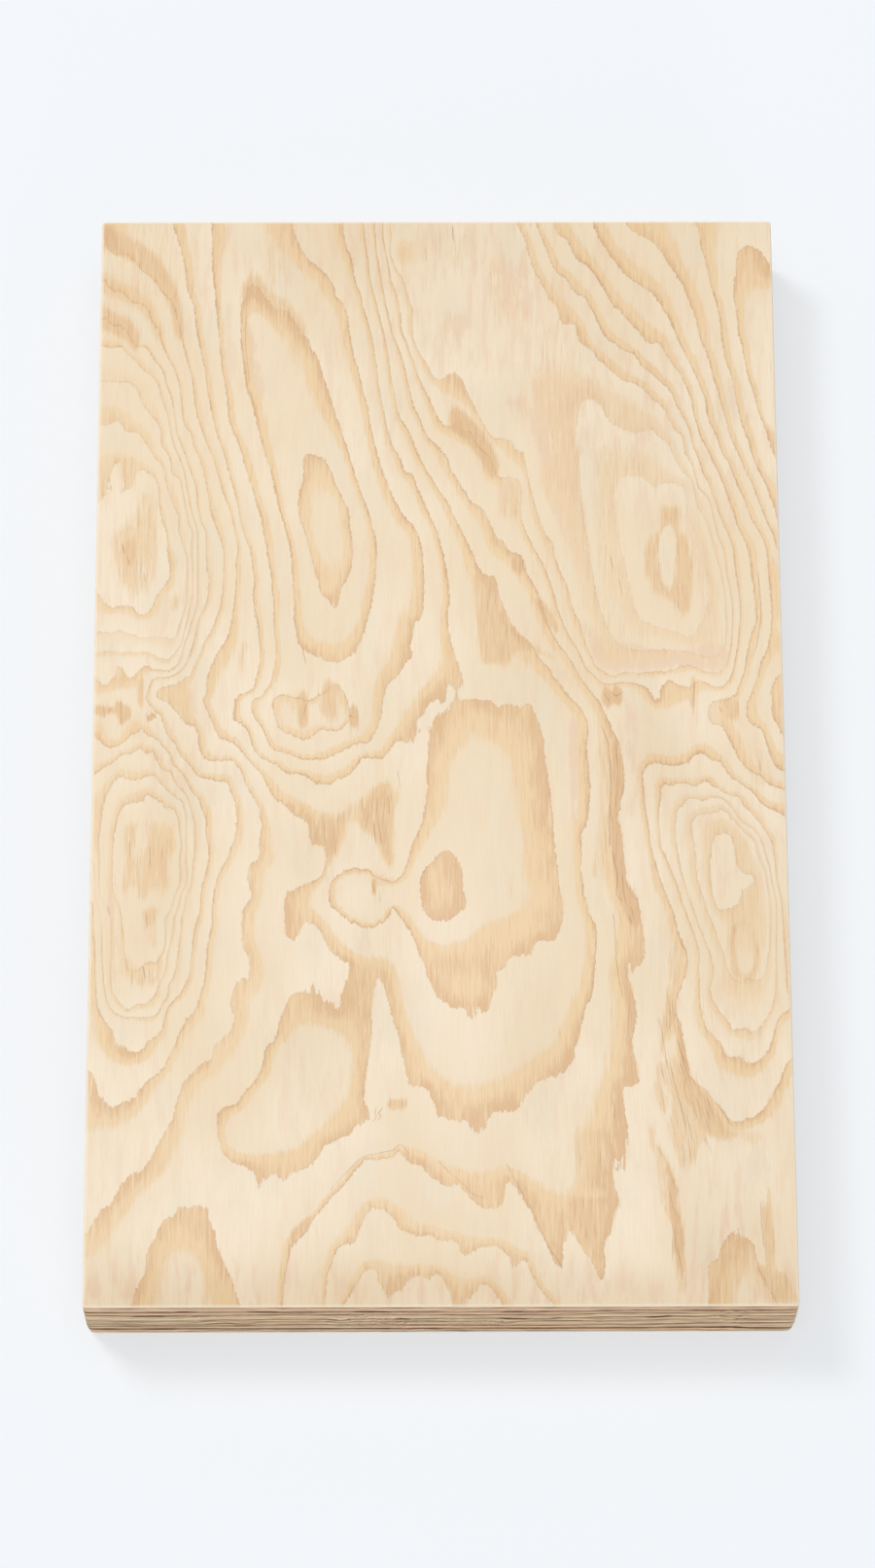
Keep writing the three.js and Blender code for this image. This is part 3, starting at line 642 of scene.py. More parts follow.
# Where the grain leans: (sideways mm for each mm along, reach across and along in mm, its centre).
LEANS = [
    (0.30, 7.0, 19.0, "700,1110"),
    (0.16, 5.0, 16.0, "692,1240"),
    (0.12, 6.0, 14.0, "650,930"),
    (-0.10, 6.0, 12.0, "385,860"),
]

# Where the wood is warmer as a whole, and a painted shade over the far end: (how much, reach across
# and along in mm, its centre). Below zero it is paler.
WARM_AND_SHADED_PLACES = [
    (-0.80, 9, 40, "460,1040"), (-0.50, 8, 12, "390,1215"), (0.50, 6, 12, "386,1010"),
    (0.45, 6, 8, "317,890"), (0.15, 6, 60, "104,600"), (1.70, 34, 7, "200,1338"), (1.35, 75, 7, "450,1338"),
    (0.60, 10, 12, "115,240"), (0.60, 7, 26, "740,430"), (1.30, 10, 18, "745,1315"),
    (-0.60, 7, 9, "735,716"), (0.80, 8, 12, "665,784"), (0.50, 7, 10, "731,852"), (-0.40, 6, 8, "110,890"),
    # The entry at 450,240 is painted shade: it darkens the whole far end of the face.
    (0.45, 12, 14, "420,420"), (0.85, 10, 20, "662,415"), (0.80, 75, 30, "450,240"),
    (0.70, 15, 24, "640,400"), (0.50, 10, 32, "735,870"), (0.60, 6, 34, "185,760"),
    (0.80, 7, 9, "322,1066"), (0.40, 8, 14, "545,1065"), (0.35, 12, 14, "560,690"),
    (0.35, 60, 14, "450,1330"), (0.50, 10, 12, "760,1120"), (1.50, 16, 7, "770,1338"),
    (-0.50, 7, 10, "662,1260"), (-0.40, 8, 20, "248,920"), (0.30, 8, 12, "386,716"),
    (0.45, 8, 12, "455,308"), (0.40, 8, 10, "662,444"), (-0.45, 8, 12, "524,988"),
    (-0.45, 8, 12, "248,1260"), (-0.45, 8, 12, "317,988"),
]

FACE_CORNERS = {  # photo pixels of the face's corners, and where they are on the sheet in mm
    (104.6, 228.9): (-60, 100),
    (793.0, 226.6): (60, 100),
    (84.1, 1344.8): (-60, -100),
    (823.2, 1344.25): (60, -100),
}


def homography(pairs):
    """The 3x3 matrix that takes photo pixels to mm on the face."""
    rows, values = [], []
    for (u, v), (x, y) in pairs.items():
        rows += [[u, v, 1, 0, 0, 0, -u * x, -v * x], [0, 0, 0, u, v, 1, -u * y, -v * y]]
        values += [x, y]
    return np.append(np.linalg.solve(np.array(rows, float), np.array(values, float)), 1).reshape(3, 3)


TO_FACE = homography(FACE_CORNERS)


def on_face(course):
    """A course of "x,y" pixel pairs, as an array of points in mm on the face."""
    pixels = np.array([[float(n) for n in pair.split(",")] + [1] for pair in course.split()])
    points = pixels @ TO_FACE.T
    return points[:, :2] / points[:, 2:]


def smooth_line(points, step):
    """Points every step mm or so along a smooth curve through the given ones."""
    padded = np.vstack([2 * points[0] - points[1], points, 2 * points[-1] - points[-2]])
    if np.allclose(points[0], points[-1]):
        padded[0], padded[-1] = points[-2], points[1]
    found = []
    for a, b, c, d in zip(padded, padded[1:], padded[2:], padded[3:]):
        t = np.linspace(0, 1, max(2, int(np.hypot(*(c - b)) / step) + 1), endpoint=False)[:, None]
        found.append(b + 0.5 * t * (c - a + t * (2 * a - 5 * b + 4 * c - d + t * (3 * (b - c) + d - a))))
    return np.vstack(found)


# ---------------------------------------------------------------- the field of ring ages

TENSION, STIFFNESS = 0.002, 0.02   # how the field keeps flat and smooth between rings
RING_TRUST, SPOT_TRUST = 1.0, 0.6  # how firmly it holds to rings and to spots
GRIDS = ((4, 300), (2, 400), (1, 500), (0.5, 400))  # cell in mm and rounds of solving, coarse first
COURSE_STEP = 0.4  # mm between the points taken along a ring or round a patch
PLAIN_CHARACTER = (0.6, 0.4)  # tone and share where no ring says
CHARACTER_CELL, CHARACTER_THIN = 2, 4  # mm, and every how many ring points count for tone and share


class Grid:
    """A grid of values over the face, with square cells of a size in mm."""

    def __init__(self, cell):
        self.cell = cell
        self.shape = (round(SIZE[1] / cell) + 1, round(SIZE[0] / cell) + 1)

    def weights(self, points):
        """The four nearest nodes of each point and how much each counts."""
        x = np.clip((points[:, 0] + SIZE[0] / 2) / self.cell, 0, self.shape[1] - 1.001)
        y = np.clip((points[:, 1] + SIZE[1] / 2) / self.cell, 0, self.shape[0] - 1.001)
        i, j = x.astype(int), y.astype(int)
        u, v = x - i, y - j
        first = j * self.shape[1] + i
        nodes = np.stack([first, first + 1, first + self.shape[1], first + self.shape[1] + 1])
        return nodes, np.stack([(1 - u) * (1 - v), u * (1 - v), (1 - u) * v, u * v])

    def sample(self, values, points):
        """The values at any points, from the nodes around each."""
        nodes, shares = self.weights(points)
        return (values.ravel()[nodes] * shares).sum(0)

    def points(self):
        """Where the nodes are."""
        across = np.linspace(-SIZE[0] / 2, SIZE[0] / 2, self.shape[1])
        along = np.linspace(-SIZE[1] / 2, SIZE[1] / 2, self.shape[0])
        return np.stack([*np.meshgrid(across, along)], -1).reshape(-1, 2)


def laplacian(a):
    """Sum of differences to the four neighbours; the border has none outside."""
    out = np.zeros_like(a)
    down, right = a[1:] - a[:-1], a[:, 1:] - a[:, :-1]
    out[:-1] += down
    out[1:] -= down
    out[:, :-1] += right
    out[:, 1:] -= right
    return out


def solve(grid, start, points, ages, trust, rounds):
    """The smooth field that fits the ages at the points, by conjugate gradients."""
    nodes, shares = grid.weights(points)
    count = grid.shape[0] * grid.shape[1]
    stiffness = STIFFNESS / grid.cell ** 2

    def gather(weighted):
        return np.bincount(nodes.ravel(), (shares * weighted).ravel(), count).reshape(grid.shape)

    diagonal = gather(trust * shares) + 4 * TENSION + 20 * stiffness

    def apply(a):
        lap = laplacian(a)
        fitted = gather(trust * (a.ravel()[nodes] * shares).sum(0))
        return fitted - TENSION * lap + stiffness * laplacian(lap)

    field = start.copy()
    residual = gather(trust * ages) - apply(field)
    along = residual / diagonal
    direction, power = along, (residual * along).sum()
    for _ in range(rounds):
        image = apply(direction)
        step = power / (direction * image).sum()
        field += step * direction
        residual -= step * image
        along = residual / diagonal
        power, before = (residual * along).sum(), power
        direction = along + power / before * direction
    return field


def ring_samples():
    """Every ring's points, with its age, tone and share."""
    found = []
    for level, tone, share, course in RINGS:
        line = smooth_line(on_face(course), COURSE_STEP)
        found.append(np.column_stack([line, np.tile([level, tone, share], (len(line), 1))]))
    return np.vstack(found)


def age_field(samples):
    """The ring age over the face, coarse grids first."""
    spots = np.vstack([np.column_stack([on_face(c), np.full(len(c.split()), age)]) for age, c in AGE_SPOTS])
    points = np.vstack([samples[:, :2], spots[:, :2]])
    ages = np.append(samples[:, 2], spots[:, 2])
    trust = np.append(np.full(len(samples), RING_TRUST), np.full(len(spots), SPOT_TRUST))
    grid = field = None
    for cell, rounds in GRIDS:
        finer = Grid(cell)
        flat = np.full(finer.shape, ages.mean())
        start = flat if grid is None else grid.sample(field, finer.points()).reshape(finer.shape)
        grid, field = finer, solve(finer, start, points, ages, trust, rounds)
    return grid, field


def ring_character(samples, grid, ages):
    """Tone and share at every node of the grid, from the rings of the level next above its age."""
    coarse = Grid(CHARACTER_CELL)
    places, points = coarse.points(), grid.points()
    found = np.tile(PLAIN_CHARACTER, (len(points), 1))
    for level in np.unique(samples[:, 2]):
        ring = samples[samples[:, 2] == level][::CHARACTER_THIN]
        apart = ((places[:, None] - ring[None, :, :2]) ** 2).sum(2)
        weight = 1 / (apart + 1) ** 2
        weight /= weight.sum(1)[:, None]
        here = np.ceil(ages.ravel()) == level
        for column in (0, 1):
            found[here, column] = coarse.sample(weight @ ring[:, 3 + column], points[here])
    return found


# ---------------------------------------------------------------- marks on the face

ALONG_LESS = np.array([1, 0.4])  # how distances count round a soft patch: less along the grain
PATCH_NEAR = 2       # mm, so far round a patch its places are looked at, at least
STROKE_STEP = 0.2    # mm between the points taken along a stroke
STROKE_NEAR = 3      # mm, so far round a stroke its places are looked at
STROKE_REACH = 0.95  # mm from a stroke to where it counts no more
STROKE_FADE = 0.2    # mm over which it fades there
STROKE_TAIL = 0.5    # mm over which it fades past its end
BEYOND = 9.0         # mm, further off than anything reaches


def slopes(ages, spacing):
    """Rings crossed in a millimetre: in all, and along the grain."""
    along, across = np.gradient(ages, spacing)
    return np.hypot(along, across), np.abs(along)


def within(points, outline):
    """Which points lie inside a closed outline."""
    found = np.zeros(len(points), bool)
    for (x0, y0), (x1, y1) in zip(outline, np.roll(outline, -1, 0)):
        crossing = (points[:, 1] > y0) != (points[:, 1] > y1)
        found ^= crossing & (points[:, 0] < x0 + (points[:, 1] - y0) * (x1 - x0) / (y1 - y0 or 1))
    return found


def patches_at(places, patches):
    """Soft patches: how much each place is changed by them."""
    dark, pale = np.zeros(len(places)), np.zeros(len(places))
    for strength, softness, course in patches:
        corners = on_face(course)
        line = smooth_line(corners, COURSE_STEP)
        reach = np.ptp(line, axis=0) + 3 * softness + PATCH_NEAR
        around = np.flatnonzero((np.abs(places - line.mean(0)) < reach).all(1))
        near = places[around]
        apart = np.sqrt((((near[:, None] - line[None]) * ALONG_LESS) ** 2).sum(2).min(1))
        closed = np.allclose(corners[0], corners[-1])
        depth = np.where(within(near, line), apart, -apart) if closed else softness - apart
        soft = np.clip(0.5 + depth / softness, 0, 1)
        soft *= soft * (3 - 2 * soft) * abs(strength)
        kept = dark if strength > 0 else pale
        kept[around] = np.maximum(kept[around], soft)
    return dark - pale


def window_at(places, across, along, centre):
    """How far each place is from a centre, and a bell round that centre with these reaches."""
    apart = places - on_face(centre)
    return apart, np.exp(-(apart[:, 0] / across) ** 2 - (apart[:, 1] / along) ** 2)


def lean_at(places):
    """How far the grain has wandered aside at each place, in mm."""
    aside = np.zeros(len(places))
    for slope, *reaches_and_centre in LEANS:
        apart, window = window_at(places, *reaches_and_centre)
        aside += slope * apart[:, 1] * window
    return aside


def warmth_and_shade_at(places):
    """How much warmer and darker the wood is at each place, with painted shade over the far end; below zero
    it is paler.
    """
    warm, cool = np.zeros(len(places)), np.zeros(len(places))
    for strength, *reaches_and_centre in WARM_AND_SHADED_PLACES:
        change = strength * window_at(places, *reaches_and_centre)[1]
        warm, cool = np.maximum(warm, change), np.minimum(cool, change)
    return warm + cool


def strokes_at(places, strokes):
    """Thin lines: how far each place is to one side of the nearest, and that line's darkness."""
    nearest, side, power = (np.full(len(places), v) for v in (BEYOND, BEYOND, 0.0))
    for darkness, course in strokes:
        line = smooth_line(on_face(course), STROKE_STEP)
        reach = np.ptp(line, axis=0) / 2 + STROKE_NEAR
        around = np.flatnonzero((np.abs(places - line.mean(0)) < reach).all(1))
        apart = places[around][:, None] - line[None]
        nearby = (apart ** 2).sum(2).argmin(1)
        apart = apart[np.arange(len(around)), nearby]
        course_way = np.gradient(line, axis=0)[nearby]
        course_way /= np.hypot(*course_way.T)[:, None] + 1e-9
        across = apart[:, 0] * course_way[:, 1] - apart[:, 1] * course_way[:, 0]
        past_end = np.abs((apart * course_way).sum(1)) - STROKE_STEP / 2
        gap = np.hypot(*apart.T)
        closer = gap < nearest[around]
        chosen = around[closer]
        nearest[chosen] = gap[closer]
        side[chosen] = across[closer]
        fade = np.clip((STROKE_REACH - gap) / STROKE_FADE, 0, 1) * np.clip(1 - past_end / STROKE_TAIL, 0, 1)
        power[chosen] = darkness * fade[closer]
    return side, power


def face_figure(sheet):
    """What the face's look reads at every node of the sheet."""
    samples = ring_samples()
    grid, ages = age_field(samples)
    tone, share = ring_character(samples, grid, ages).T
    steep, rise = slopes(ages, grid.cell)
    found = {"ring_age": ages, "tone": tone, "share": share, "steep": steep, "rise": rise}
    figure = {label: grid.sample(values, sheet.xy) for label, values in found.items()}
    for group, strokes in STROKES.items():
        figure[group + "_side"], figure[group + "_power"] = strokes_at(sheet.xy, strokes)
    figure["stain"], figure["blush"] = (patches_at(sheet.xy, patches) for patches in (STAINS, BLUSHES))
    return figure | {"lean": lean_at(sheet.xy), "warmth_and_shade": warmth_and_shade_at(sheet.xy)}


# The back's figure is made up: a slope across, two long eyes on it, and a slow wander.
BACK_AGE, BACK_SLOPE, BACK_MIDDLE = 6, 0.055, -8  # rings, rings in a mm across, and the place of that age
BACK_EYES = ((4, -18, 30, 16, 95), (-3.2, 30, -45, 13, 60))  # rings, centre and reaches in mm
WANDER, WANDER_STRETCH = 0.8, np.array([0.06, 0.02, 0])  # rings, and how quickly it changes
WANDER_SEED, WANDER_WAVES = 9, 12
BACK_EVEN = {"tone": 0.65, "share": 0.45, "steep": 0.12, "rise": 0.04}


def back_figure(sheet):
    """What the back's look reads at every node of the sheet."""
    x, y = sheet.xy.T
    age = BACK_AGE + BACK_SLOPE * (x - BACK_MIDDLE)
    for rings, across, along, half_width, half_length in BACK_EYES:
        age = age + rings * np.exp(-((x - across) / half_width) ** 2 - ((y - along) / half_length) ** 2)
    places = np.column_stack([sheet.xy, np.zeros(len(x))])
    age += WANDER * hum(WANDER_SEED, WANDER_WAVES)(places, WANDER_STRETCH)
    return {"ring_age": age} | {label: np.full(len(x), value) for label, value in BACK_EVEN.items()}


# ---------------------------------------------------------------- meshes of the plies, in mm

CORNER = 0.6         # radius of the upright corners
CORNER_WEAR = 0.9    # how much larger it is at the bottom
WEAR_HEIGHT = 5.0    # and how high above the floor that begins
TOP_ARRIS = 0.4      # radius along the face's border
HIGHLIGHT_WIDTH = 0.55          # how far in from there the face gets a painted highlight
BOTTOM_ARRIS = 0.8   # radius along the underside's border
ARRIS_BAND = 0.8     # width of the border where the mesh is closer
ARRIS_STEPS = (0.0, 0.05, 0.16, 0.4)  # its lines there, from the border in
FACE_CELL, PLAIN_CELL = 0.55, 1.0     # of the face's mesh and of the other plies'
ROW = 0.4            # height of a row of quads on the edges
GLUE_SETBACK = 0.04  # how far in from the edges the glue stays
GLUE_GAP = 0.006     # and how far from the veneers
LEVEL_NORMAL = 0.4   # a CAD face is on top or beneath if its normal rises or falls more than this
RELIEF = 0.06        # how deep the saw tore the edges
RELIEF_WAVES = 24    # how many waves that relief is made of
MEAN_RELIEF, RELIEF_SWING = 0.5, 1.6  # the part of its depth on average, and how that varies
ALONG_GRAIN, ACROSS_GRAIN, UPWARD = 0.3, 1.6, 2.2  # how quickly it changes each way
FACE_SEED, BACK_SEED, INNER_SEED = 11, 12, 20  # of the relief; the inner plies count on from theirs


def lines_over(length, cell):
    """Where the mesh's lines cross one side: closer together at the arrises."""
    half = length / 2
    inner = half - ARRIS_BAND
    middle = np.linspace(-inner, inner, round(2 * inner / cell) + 1)
    border = half - np.array(ARRIS_STEPS)
    return np.concatenate([-border, middle, border[::-1]])


def border_of(columns, rows):
    """Indices of a columns by rows grid's outer nodes, anticlockwise from the near left corner."""
    near = [i for i in range(columns)]
    right = [columns - 1 + columns * j for j in range(1, rows)]
    far = [columns * (rows - 1) + i for i in range(columns - 2, -1, -1)]
    left = [columns * j for j in range(rows - 2, 0, -1)]
    return np.array(near + right + far + left)


def corner_radius(z):
    """Radius of the upright corners at each height: the lowest plies are knocked rounder."""
    return CORNER + CORNER_WEAR * np.clip(1 - z / WEAR_HEIGHT, 0, 1)


def round_corners(xy, radius):
    """Moves the nodes in the corner squares onto arcs."""
    middle = SIZE / 2 - np.reshape(radius, (-1, 1))
    out = np.maximum(np.abs(xy) - middle, 0)
    corner = (out > 0).all(1)
    far, size = out.max(1), np.hypot(*out.T)
    shrink = np.where(corner, far / np.maximum(size, 1e-9), 1)
    return np.sign(xy) * np.where(corner[:, None], middle + out * shrink[:, None], np.abs(xy))


def drop(inset, radius):
    """How far a rounded arris has fallen at a distance in from the edge."""
    out = np.clip(radius - inset, 0, radius)
    return radius - np.sqrt(radius ** 2 - out ** 2)


class Sheet:
    """Plan of the panel: a grid of nodes with rounded corners, and its border."""

    def __init__(self, cell):
        x, y = lines_over(SIZE[0], cell), lines_over(SIZE[1], cell)
        self.columns, self.rows = len(x), len(y)
        self.square = np.stack([*np.meshgrid(x, y)], -1).reshape(-1, 2)
        self.xy = round_corners(self.square, CORNER)
        self.inset = (SIZE / 2 - np.abs(self.square)).min(1)
        self.border = border_of(self.columns, self.rows)

    def quads(self):
        """The grid's quads, anticlockwise."""
        first = (np.arange(self.rows - 1)[:, None] * self.columns + np.arange(self.columns - 1)).ravel()
        return np.stack([first, first + 1, first + 1 + self.columns, first + self.columns], 1)


def ply_heights(node, x):
    """Heights of a CAD ply's upper and lower sides at places across."""
    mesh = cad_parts[node].data
    heights = []
    for facing in (1, -1):
        corners = {k for p in mesh.polygons if p.normal.z * facing > LEVEL_NORMAL for k in p.vertices}
        side = np.array([mesh.vertices[k].co for k in corners]) / MM
        side = side[np.argsort(side[:, 0])]
        heights.append(np.interp(x, side[:, 0], side[:, 2]))
    return heights


def make_mesh(name, vertices, faces, materials, indices, attributes):
    """A smooth-shaded object in metres from mm, with material indices and point attributes."""
    mesh = bpy.data.meshes.new(name)
    mesh.from_pydata((np.asarray(vertices) * MM).tolist(), [], [list(f) for f in faces])
    for material in materials:
        mesh.materials.append(material)
    mesh.polygons.foreach_set("material_index", np.asarray(indices, np.int32))
    mesh.polygons.foreach_set("use_smooth", np.ones(len(faces), bool))
    for label, values in attributes.items():
        mesh.attributes.new(label, "FLOAT", "POINT").data.foreach_set("value", np.asarray(values, np.float32))
    mesh.validate()
    mesh.update()
    thing = bpy.data.objects.new(name, mesh)
    bpy.context.scene.collection.objects.link(thing)
    return thing


def cap(border, xy, facing_up):
    """Faces over a border loop: strips from the near edge to the far one, and a strip at each side."""
    near = np.flatnonzero(np.isclose(xy[:, 1], -SIZE[1] / 2))
    far = np.flatnonzero(np.isclose(xy[:, 1], SIZE[1] / 2))[::-1]
    strips = [[border[a], border[b], border[d], border[c]]
              for a, b, c, d in zip(near, near[1:], far, far[1:])]
    right = list(range(near[-1], far[-1] + 1))
    left = list(range(far[0], len(border))) + list(range(near[0] + 1))
    strips += [[border[k] for k in right], [border[k] for k in left]]
    return strips if facing_up else [list(f)[::-1] for f in strips]


def bands(rings):
    """Quads between successive closed rings of vertices, from the upper ring down."""
    faces = []
    for upper, lower in zip(rings, rings[1:]):
        faces.append(np.stack([upper, lower, np.roll(lower, -1), np.roll(upper, -1)], 1))
    return np.vstack(faces).tolist()


PLIES = ["face_veneer", "upper_crossband", "upper_core_veneer", "centre_crossband",
         "lower_core_veneer", "lower_crossband", "back_veneer"]

# The glue lines from the top down: how dark each is, and the places across where it is darkest.
GLUE_LINES = [
    (0.65, [(-44.4, -40.7), (-32.3, -27.4), (-14.2, -8.7), (10.3, 14.0)]),
    (0.45, [(-51.7, -46.9), (-42.0, -38.8), (-31.1, -27.4)]),
    (0.50, [(-7.9, -5.5), (10.0, 14.8), (18.9, 20.5), (34.3, 38.4)]),
    (0.40, []),
    (0.55, []),
    (0.85, [(48.1, 50.7)]),
]
ARRIS_SHADE = 0.75             # how dark the painted shade under the face's arris is
DARKER, DARKEST = 0.4, 1.2  # what a glue line gains at its darkest places, and its limit

# Where the saw met disturbed grain: (place along the edge, height, half sizes in mm, strength).
SWIRLS = [
    (-11.5, 8.5, 8.0, 5.0, 1.0),
    (1.4, 8.0, 2.5, 3.0, 0.7),
    (9.5, 7.0, 3.5, 3.0, 0.8),
    (49.0, 9.0, 3.0, 5.0, 0.9),
    (-33.5, 12.5, 1.2, 3.0, 0.6),
]


def glue_and_shade_darkness(line, x):
    """How dark a glue line is at each place across; line -1 is painted shade under the face's arris."""
    if line < 0:
        # Painted shade under the face's arris, carried like a glue line.
        return np.full(len(x), ARRIS_SHADE)
    if line >= len(GLUE_LINES):
        return np.zeros(len(x))
    darkness, places = GLUE_LINES[line]
    found = np.full(len(x), darkness)
    for first, last in places:
        found = np.where((x > first) & (x < last), np.minimum(found + DARKER, DARKEST), found)
    return found


def seam_values(index, vertices, upper, lower):
    """Each vertex's distance from the nearer glue line beside a ply, and how dark that line is; on the face
    veneer the upper one is painted shade under its arris.
    """
    below_upper = upper - vertices[:, 2] - (0 if index else TOP_ARRIS)
    has_lower = index < len(PLIES) - 1
    above_lower = vertices[:, 2] - lower if has_lower else np.full(len(vertices), BEYOND)
    x = vertices[:, 0]
    glue = np.where(below_upper < above_lower, glue_and_shade_darkness(index - 1, x), glue_and_shade_darkness(index, x))
    return np.maximum(np.minimum(below_upper, above_lower), 0), glue


def swirl_at(places):
    """How disturbed the grain is at each place."""
    found = np.zeros(len(places))
    for along, height, half_along, half_height, strength in SWIRLS:
        apart = ((places[:, 0] - along) / half_along) ** 2 + ((places[:, 2] - height) / half_height) ** 2
        found = np.maximum(found, strength * np.exp(-apart))
    return found


def hum(seed, count):
    """A repeatable function of position: a sum of waves with random directions and lengths."""
    draw = np.random.default_rng(seed)
    waves = draw.normal(size=(count, 3)) * draw.uniform(0.4, 2.0, (count, 1))
    phases = draw.uniform(0, 2 * math.pi, count)

    def value(places, stretch):
        return np.cos(places * stretch @ waves.T + phases).mean(-1)

    return value


def edge_relief(seed, along_y):
    """How far in each point of a ply's edge is left by the saw: fibres torn out and pressed in."""
    wave = hum(seed, RELIEF_WAVES)
    grain = [ACROSS_GRAIN, ALONG_GRAIN] if along_y else [ALONG_GRAIN, ACROSS_GRAIN]
    stretch = np.array(grain + [UPWARD])

    def relief(xy, z):
        places = np.column_stack([xy, np.broadcast_to(z, len(xy))])
        return RELIEF * np.clip(MEAN_RELIEF + RELIEF_SWING * wave(places, stretch), 0, 1)

    return relief


def side_rings(sheet, upper, lower, relief):
    """Vertices of an edge band, ring by ring down, pushed in by the relief between its borders."""
    square, xy = sheet.square[sheet.border], sheet.xy[sheet.border]
    after, before = np.roll(xy, -1, 0), np.roll(xy, 1, 0)
    outward = np.stack([(after - before)[:, 1], -(after - before)[:, 0]], 1)
    outward /= np.hypot(*outward.T)[:, None]
    rows = max(3, round(float((upper - lower).mean()) / ROW))
    rings = []
    for k in range(rows + 1):
        z = upper + (lower - upper) * k / rows
        xy = round_corners(square, corner_radius(z))
        pushed = 0 if k in (0, rows) else relief(xy, z)
        rings.append(np.column_stack([xy - outward * np.reshape(pushed, (-1, 1)), z]))
    return rings


def figured_side(sheet, level, radius, facing, ring, first):
    """A face or underside within a ring: new vertices, every node's number, and the quads."""
    z = level - facing * drop(sheet.inset, radius)
    places = np.column_stack([round_corners(sheet.square, corner_radius(z)), z])
    numbers = np.full(len(places), -1)
    numbers[sheet.border] = ring
    inner = np.flatnonzero(numbers < 0)
    numbers[inner] = first + np.arange(len(inner))
    quads = numbers[sheet.quads()]
    return places[inner], numbers, (quads if facing > 0 else quads[:, ::-1]).tolist()


def spread_over(figure, numbers, count):
    """A sheet's values, given to the vertices that its nodes have become; 0 at the others."""
    found = {label: np.zeros(count) for label in figure}
    for label, values in figure.items():
        found[label][numbers] = values
    return found


def dressed_ply(node, sheet, seed, along_y, materials, figure=None, facing=0):
    """A veneer rebuilt from its CAD solid with worked edges, and a figured side where it shows one."""
    border_xy = sheet.xy[sheet.border]
    upper, lower = glued = ply_heights(node, border_xy[:, 0])
    low, high = (corner[2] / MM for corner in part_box(node))
    if facing > 0:
        upper = np.full_like(upper, high - TOP_ARRIS)
    if facing < 0:
        lower = np.full_like(lower, low + BOTTOM_ARRIS)
    rings = side_rings(sheet, upper, lower, edge_relief(seed, along_y))
    vertices = np.vstack(rings)
    seam, glue = seam_values(PLIES.index(node), vertices, *(np.tile(z, len(rings)) for z in glued))
    loops = np.arange(len(vertices)).reshape(len(rings), -1)
    sides, figured, values = bands(loops), [], {}
    if facing:
        level, radius, ring = (high, TOP_ARRIS, loops[0]) if facing > 0 else (low, BOTTOM_ARRIS, loops[-1])
        inner, numbers, figured = figured_side(sheet, level, radius, facing, ring, len(vertices))
        vertices = np.vstack([vertices, inner])
        seam = np.append(seam, np.full(len(inner), BEYOND))
        glue = np.append(glue, np.zeros(len(inner)))
        # The band along the arris that gets a painted highlight.
        highlight_band = np.clip(1 - sheet.inset / HIGHLIGHT_WIDTH, 0, 1)
        values = spread_over(figure | {"highlight_band": highlight_band}, numbers, len(vertices))
    caps = cap(loops[0], border_xy, True) if facing <= 0 else []
    caps += cap(loops[-1], border_xy, False) if facing >= 0 else []
    attributes = {"seam": seam, "glue": glue, "swirl": swirl_at(vertices)} | values
    indices = [1] * len(sides) + [0] * len(figured) + [1] * len(caps)
    ply = make_mesh(node + "_dressed", vertices, sides + figured + caps, materials, indices, attributes)
    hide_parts(node)
    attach(ply, "root")


def glue_film(name, above, below, sheet, material):
    """The thin dark film between two veneers, set back a little from the edge."""
    square, xy = sheet.square[sheet.border], sheet.xy[sheet.border]
    radius = corner_radius(ply_heights(below, xy[:, 0])[0])[:, None]
    inset = np.where(SIZE / 2 - np.abs(square) < radius, GLUE_SETBACK, 0)
    inner = round_corners(square, radius) - np.sign(square) * inset
    upper = ply_heights(above, inner[:, 0])[1] - GLUE_GAP
    lower = ply_heights(below, inner[:, 0])[0] + GLUE_GAP
    vertices = np.vstack([np.column_stack([inner, upper]), np.column_stack([inner, lower])])
    rings = np.arange(len(vertices)).reshape(2, -1)
    faces = bands(rings) + cap(rings[0], xy, True) + cap(rings[1], xy, False)
    film = make_mesh(name, vertices, faces, [material], [0] * len(faces), {})
    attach(film, "root")


# ---------------------------------------------------------------- node materials


class Value:
    """A number in a look's node tree, to reckon with: each step adds a math node."""

    def __init__(self, look, socket):
        self.look, self.socket = look, socket

    def node(self, operation, a, b=0.0):
        """What an operation makes of one or two numbers."""
        node = self.look.add("ShaderNodeMath", {0: a, 1: b}, operation=operation)
        return Value(self.look, node.outputs[0])

    def __add__(self, other):
        return self.node("ADD", self, other)

    def __sub__(self, other):
        return self.node("SUBTRACT", self, other)

    def __rsub__(self, other):
        return self.node("SUBTRACT", other, self)

    def __mul__(self, other):
        return self.node("MULTIPLY", self, other)

    def __truediv__(self, other):
        return self.node("DIVIDE", self, other)

    def __abs__(self):
        return self.node("ABSOLUTE", self)

    def most(self, other):
        """The greater of the two."""
        return self.node("MAXIMUM", self, other)

    def least(self, other):
        """The smaller of the two."""
        return self.node("MINIMUM", self, other)

    def fraction(self):
        """What it has above the whole number below it."""
        return self.node("FRACT", self)

    def held(self):
        """Keeps the result of a math node between 0 and 1."""
        self.socket.node.use_clamp = True
        return self


